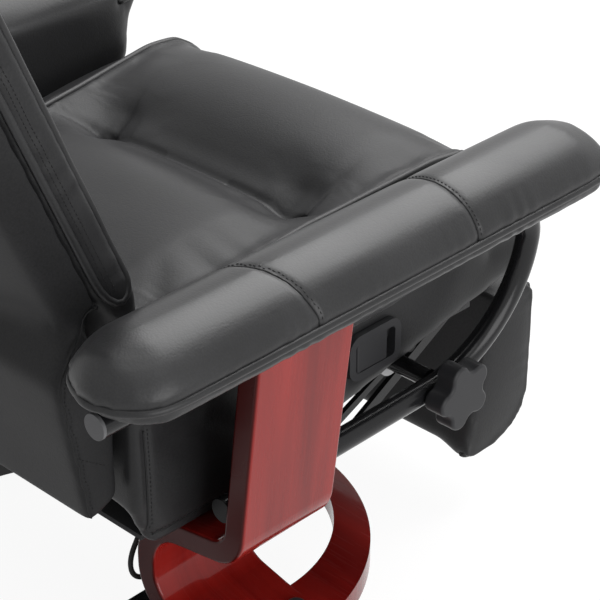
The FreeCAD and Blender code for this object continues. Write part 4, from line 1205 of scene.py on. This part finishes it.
class RECLINER_OT_outside_back(bpy.types.Operator):
    """Covers the outside of the back, upper shell and lower box, in one taut leather skin"""

    bl_idname = "recliner.outside_back"
    bl_label = "Outside back"

    def execute(self, context):
        sizes = soft_sizes()
        cover = show(cad_form("back_shell", "lower_back_cover"), "outside_back", "backrest", "leather_taut")
        close_clefts(cover, sizes.cover_grid, 0.008)
        soften(cover, 6)
        route = ((173, 74), (164, 44), (142, 10), (90, -4), (40, -15), (6, -23))
        form = bmesh.new()
        for sign in (-1, 1):
            corner = resample([on_back(sign * 246, up, fore) for up, fore in route], 0.005)
            line = ease(cling(surface(cover), corner), 2, False)
            groove(cover, line)
            sew_seam(form, surface(cover), line)
            pocket = straight(at(sign * BESIDE, 155, 312), at(sign * BESIDE, 125, 291))
            sew(form, surface(cover), drape(surface(cover), pocket, -ACROSS * sign), 0.0)
        show(form, "outside_back_stitches", "backrest", "sewing_thread")
        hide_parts("back_shell", "lower_back_cover")
        return {"FINISHED"}


class RECLINER_OT_leg_rest(bpy.types.Operator):
    """Upholsters the leg rest as a wedge with piping along the front of both side faces"""

    bl_idname = "recliner.leg_rest"
    bl_label = "Leg rest"

    def wedge(self, top):
        """The closed wedge that wraps the leg rest's pad and board, cut off level below its hinges."""
        form = cad_form("leg_pad", "leg_board")
        bmesh.ops.delete(form, geom=form.edges, context="EDGES_FACES")
        bmesh.ops.convex_hull(form, input=form.verts)
        spare = [point for point in form.verts if not point.link_faces]
        bmesh.ops.delete(form, geom=spare, context="VERTS")
        parts = [*form.verts, *form.edges, *form.faces]
        slant = (0, 0.36, 1)
        cut = bmesh.ops.bisect_plane(form, geom=parts, plane_co=top, plane_no=slant, clear_outer=True)
        rim = [part for part in cut["geom_cut"] if isinstance(part, bmesh.types.BMEdge)]
        bmesh.ops.edgeloop_fill(form, edges=rim)
        return form

    def fill_corners(self, pad):
        """Brings the pad's two ends out to the full section."""
        starts, blend = 0.200, 0.030
        longer, higher = 0.09, 0.045
        hinge = at(0, -383, 236)
        points = places(pad)
        share = numpy.clip((numpy.abs(points[:, 0]) - starts) / blend, 0, 1)
        points[:, 1] = hinge.y + (points[:, 1] - hinge.y) * (1 + longer * share)
        points[:, 2] = hinge.z + (points[:, 2] - hinge.z) * (1 + higher * share)
        put(pad, points)

    def welt_rays(self, x):
        """Rays at the piping's line: down the front edge and round the lower edge of a side face."""
        top_turn, last_turn, step, reach = 70, -134, -3, 0.3
        middle = at(0, -395, 130)
        middle.x = x
        rays = []
        for turn in range(top_turn, last_turn, step):
            angle = math.radians(turn)
            way = Vector((0, -math.cos(angle), math.sin(angle)))
            rays.append((middle + way * reach, -way))
        return rays

    def execute(self, context):
        sizes = soft_sizes()
        low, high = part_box("leg_pad")
        pad = show(self.wedge(at(0, -383, 237)), "leg_cushion", "legrest", "leather")
        even_grid(pad, sizes.arm_grid)
        self.fill_corners(pad)
        soften(pad, 2)
        inset = 0.009
        edges = {"right": low.x + inset, "left": high.x - inset}
        held = numpy.nonzero(outward(pad)[:, 1] > 0.5)[0]
        for x in edges.values():
            welt = meet(surface(pad), self.welt_rays(x))
            held = numpy.union1d(held, close_to(places(pad), welt, 0.010)[0])
        draw_in(pad, 0.002, held)
        swell(pad, held, sizes.leg_swell)
        soften(pad, 1)
        refine(pad)
        for label, x in edges.items():
            rays = self.welt_rays(x)
            welt = meet(surface(pad), rays)
            pucker(pad, welt, 0.0004, 0.010, 0.026)
            press(pad, welt, 0.0018, 0.0045)
            piping("leg_piping_" + label, ease(meet(surface(pad), rays), 3, False), "legrest")
        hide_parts("leg_pad", "leg_board")
        return {"FINISHED"}


class RECLINER_OT_frame_finish(bpy.types.Operator):
    """Gives the ply, steel, plastic, rubber and hidden boards their finishes"""

    bl_idname = "recliner.frame_finish"
    bl_label = "Frame finishes"

    def execute(self, context):
        paint("ply", "side_support_left", "side_support_right")
        paint("powder_coat", "floor_ring", "bearer_left", "bearer_right", "arm_tube_left", "arm_tube_right",
              "clamp_spindle_left", "clamp_spindle_right", "glide_plate_left", "glide_plate_right",
              "brace_bar_left", "brace_bar_right", "back_lugs", "back_arms", "leg_lugs", "leg_arms")
        paint("zinc", "lower_race", "upper_race", "race_balls")
        paint("moulded_black", "foot_bolts", "release_paddle", "star_knob_left", "star_knob_right",
              "handle_bezel")
        paint("tube_plug", "tube_plugs")
        paint("moulded_pale", "clamp_washers")
        paint("black_rubber", "foot_pads", "stop_bumpers")
        paint("dust_cloth", "bottom_board")
        paint("raw_board", "seat_deck", "back_board")
        return {"FINISHED"}


class RECLINER_PT_panel(bpy.types.Panel):
    """Lists the steps that dress the recliner"""

    bl_idname = "RECLINER_PT_panel"
    bl_label = "Recliner"
    bl_space_type = "VIEW_3D"
    bl_region_type = "UI"
    bl_category = "Recliner"

    def draw(self, context):
        column = self.layout.column()
        for step in STEPS:
            column.operator(step.bl_idname)
        scene = context.scene
        for group in (scene.recliner_soft, scene.recliner_colours, scene.recliner_studio):
            for label in group.__annotations__:
                column.prop(group, label)


GROUPS = (SoftSizes, FinishColours, StudioSizes)
STEPS = (
    RECLINER_OT_stage,
    RECLINER_OT_slack_lead,
    RECLINER_OT_arm_pads,
    RECLINER_OT_seat_cushion,
    RECLINER_OT_seat_box,
    RECLINER_OT_back_cushion,
    RECLINER_OT_outside_back,
    RECLINER_OT_leg_rest,
    RECLINER_OT_frame_finish,
)


def register():
    """Registers the sizes, steps and panel."""
    for kind in (*GROUPS, *STEPS, RECLINER_PT_panel):
        bpy.utils.register_class(kind)
    bpy.types.Scene.recliner_soft = bpy.props.PointerProperty(type=SoftSizes)
    bpy.types.Scene.recliner_colours = bpy.props.PointerProperty(type=FinishColours)
    bpy.types.Scene.recliner_studio = bpy.props.PointerProperty(type=StudioSizes)


def unregister():
    """Takes the sizes, steps and panel out again."""
    del bpy.types.Scene.recliner_studio
    del bpy.types.Scene.recliner_colours
    del bpy.types.Scene.recliner_soft
    for kind in reversed((*GROUPS, *STEPS, RECLINER_PT_panel)):
        bpy.utils.unregister_class(kind)


def main():
    """Dresses the recliner."""
    register()
    bpy.ops.recliner.stage()
    bpy.ops.recliner.slack_lead()
    bpy.ops.recliner.arm_pads()
    bpy.ops.recliner.seat_cushion()
    bpy.ops.recliner.seat_box()
    bpy.ops.recliner.back_cushion()
    bpy.ops.recliner.outside_back()
    bpy.ops.recliner.leg_rest()
    bpy.ops.recliner.frame_finish()


if __name__ == "__main__":
    main()
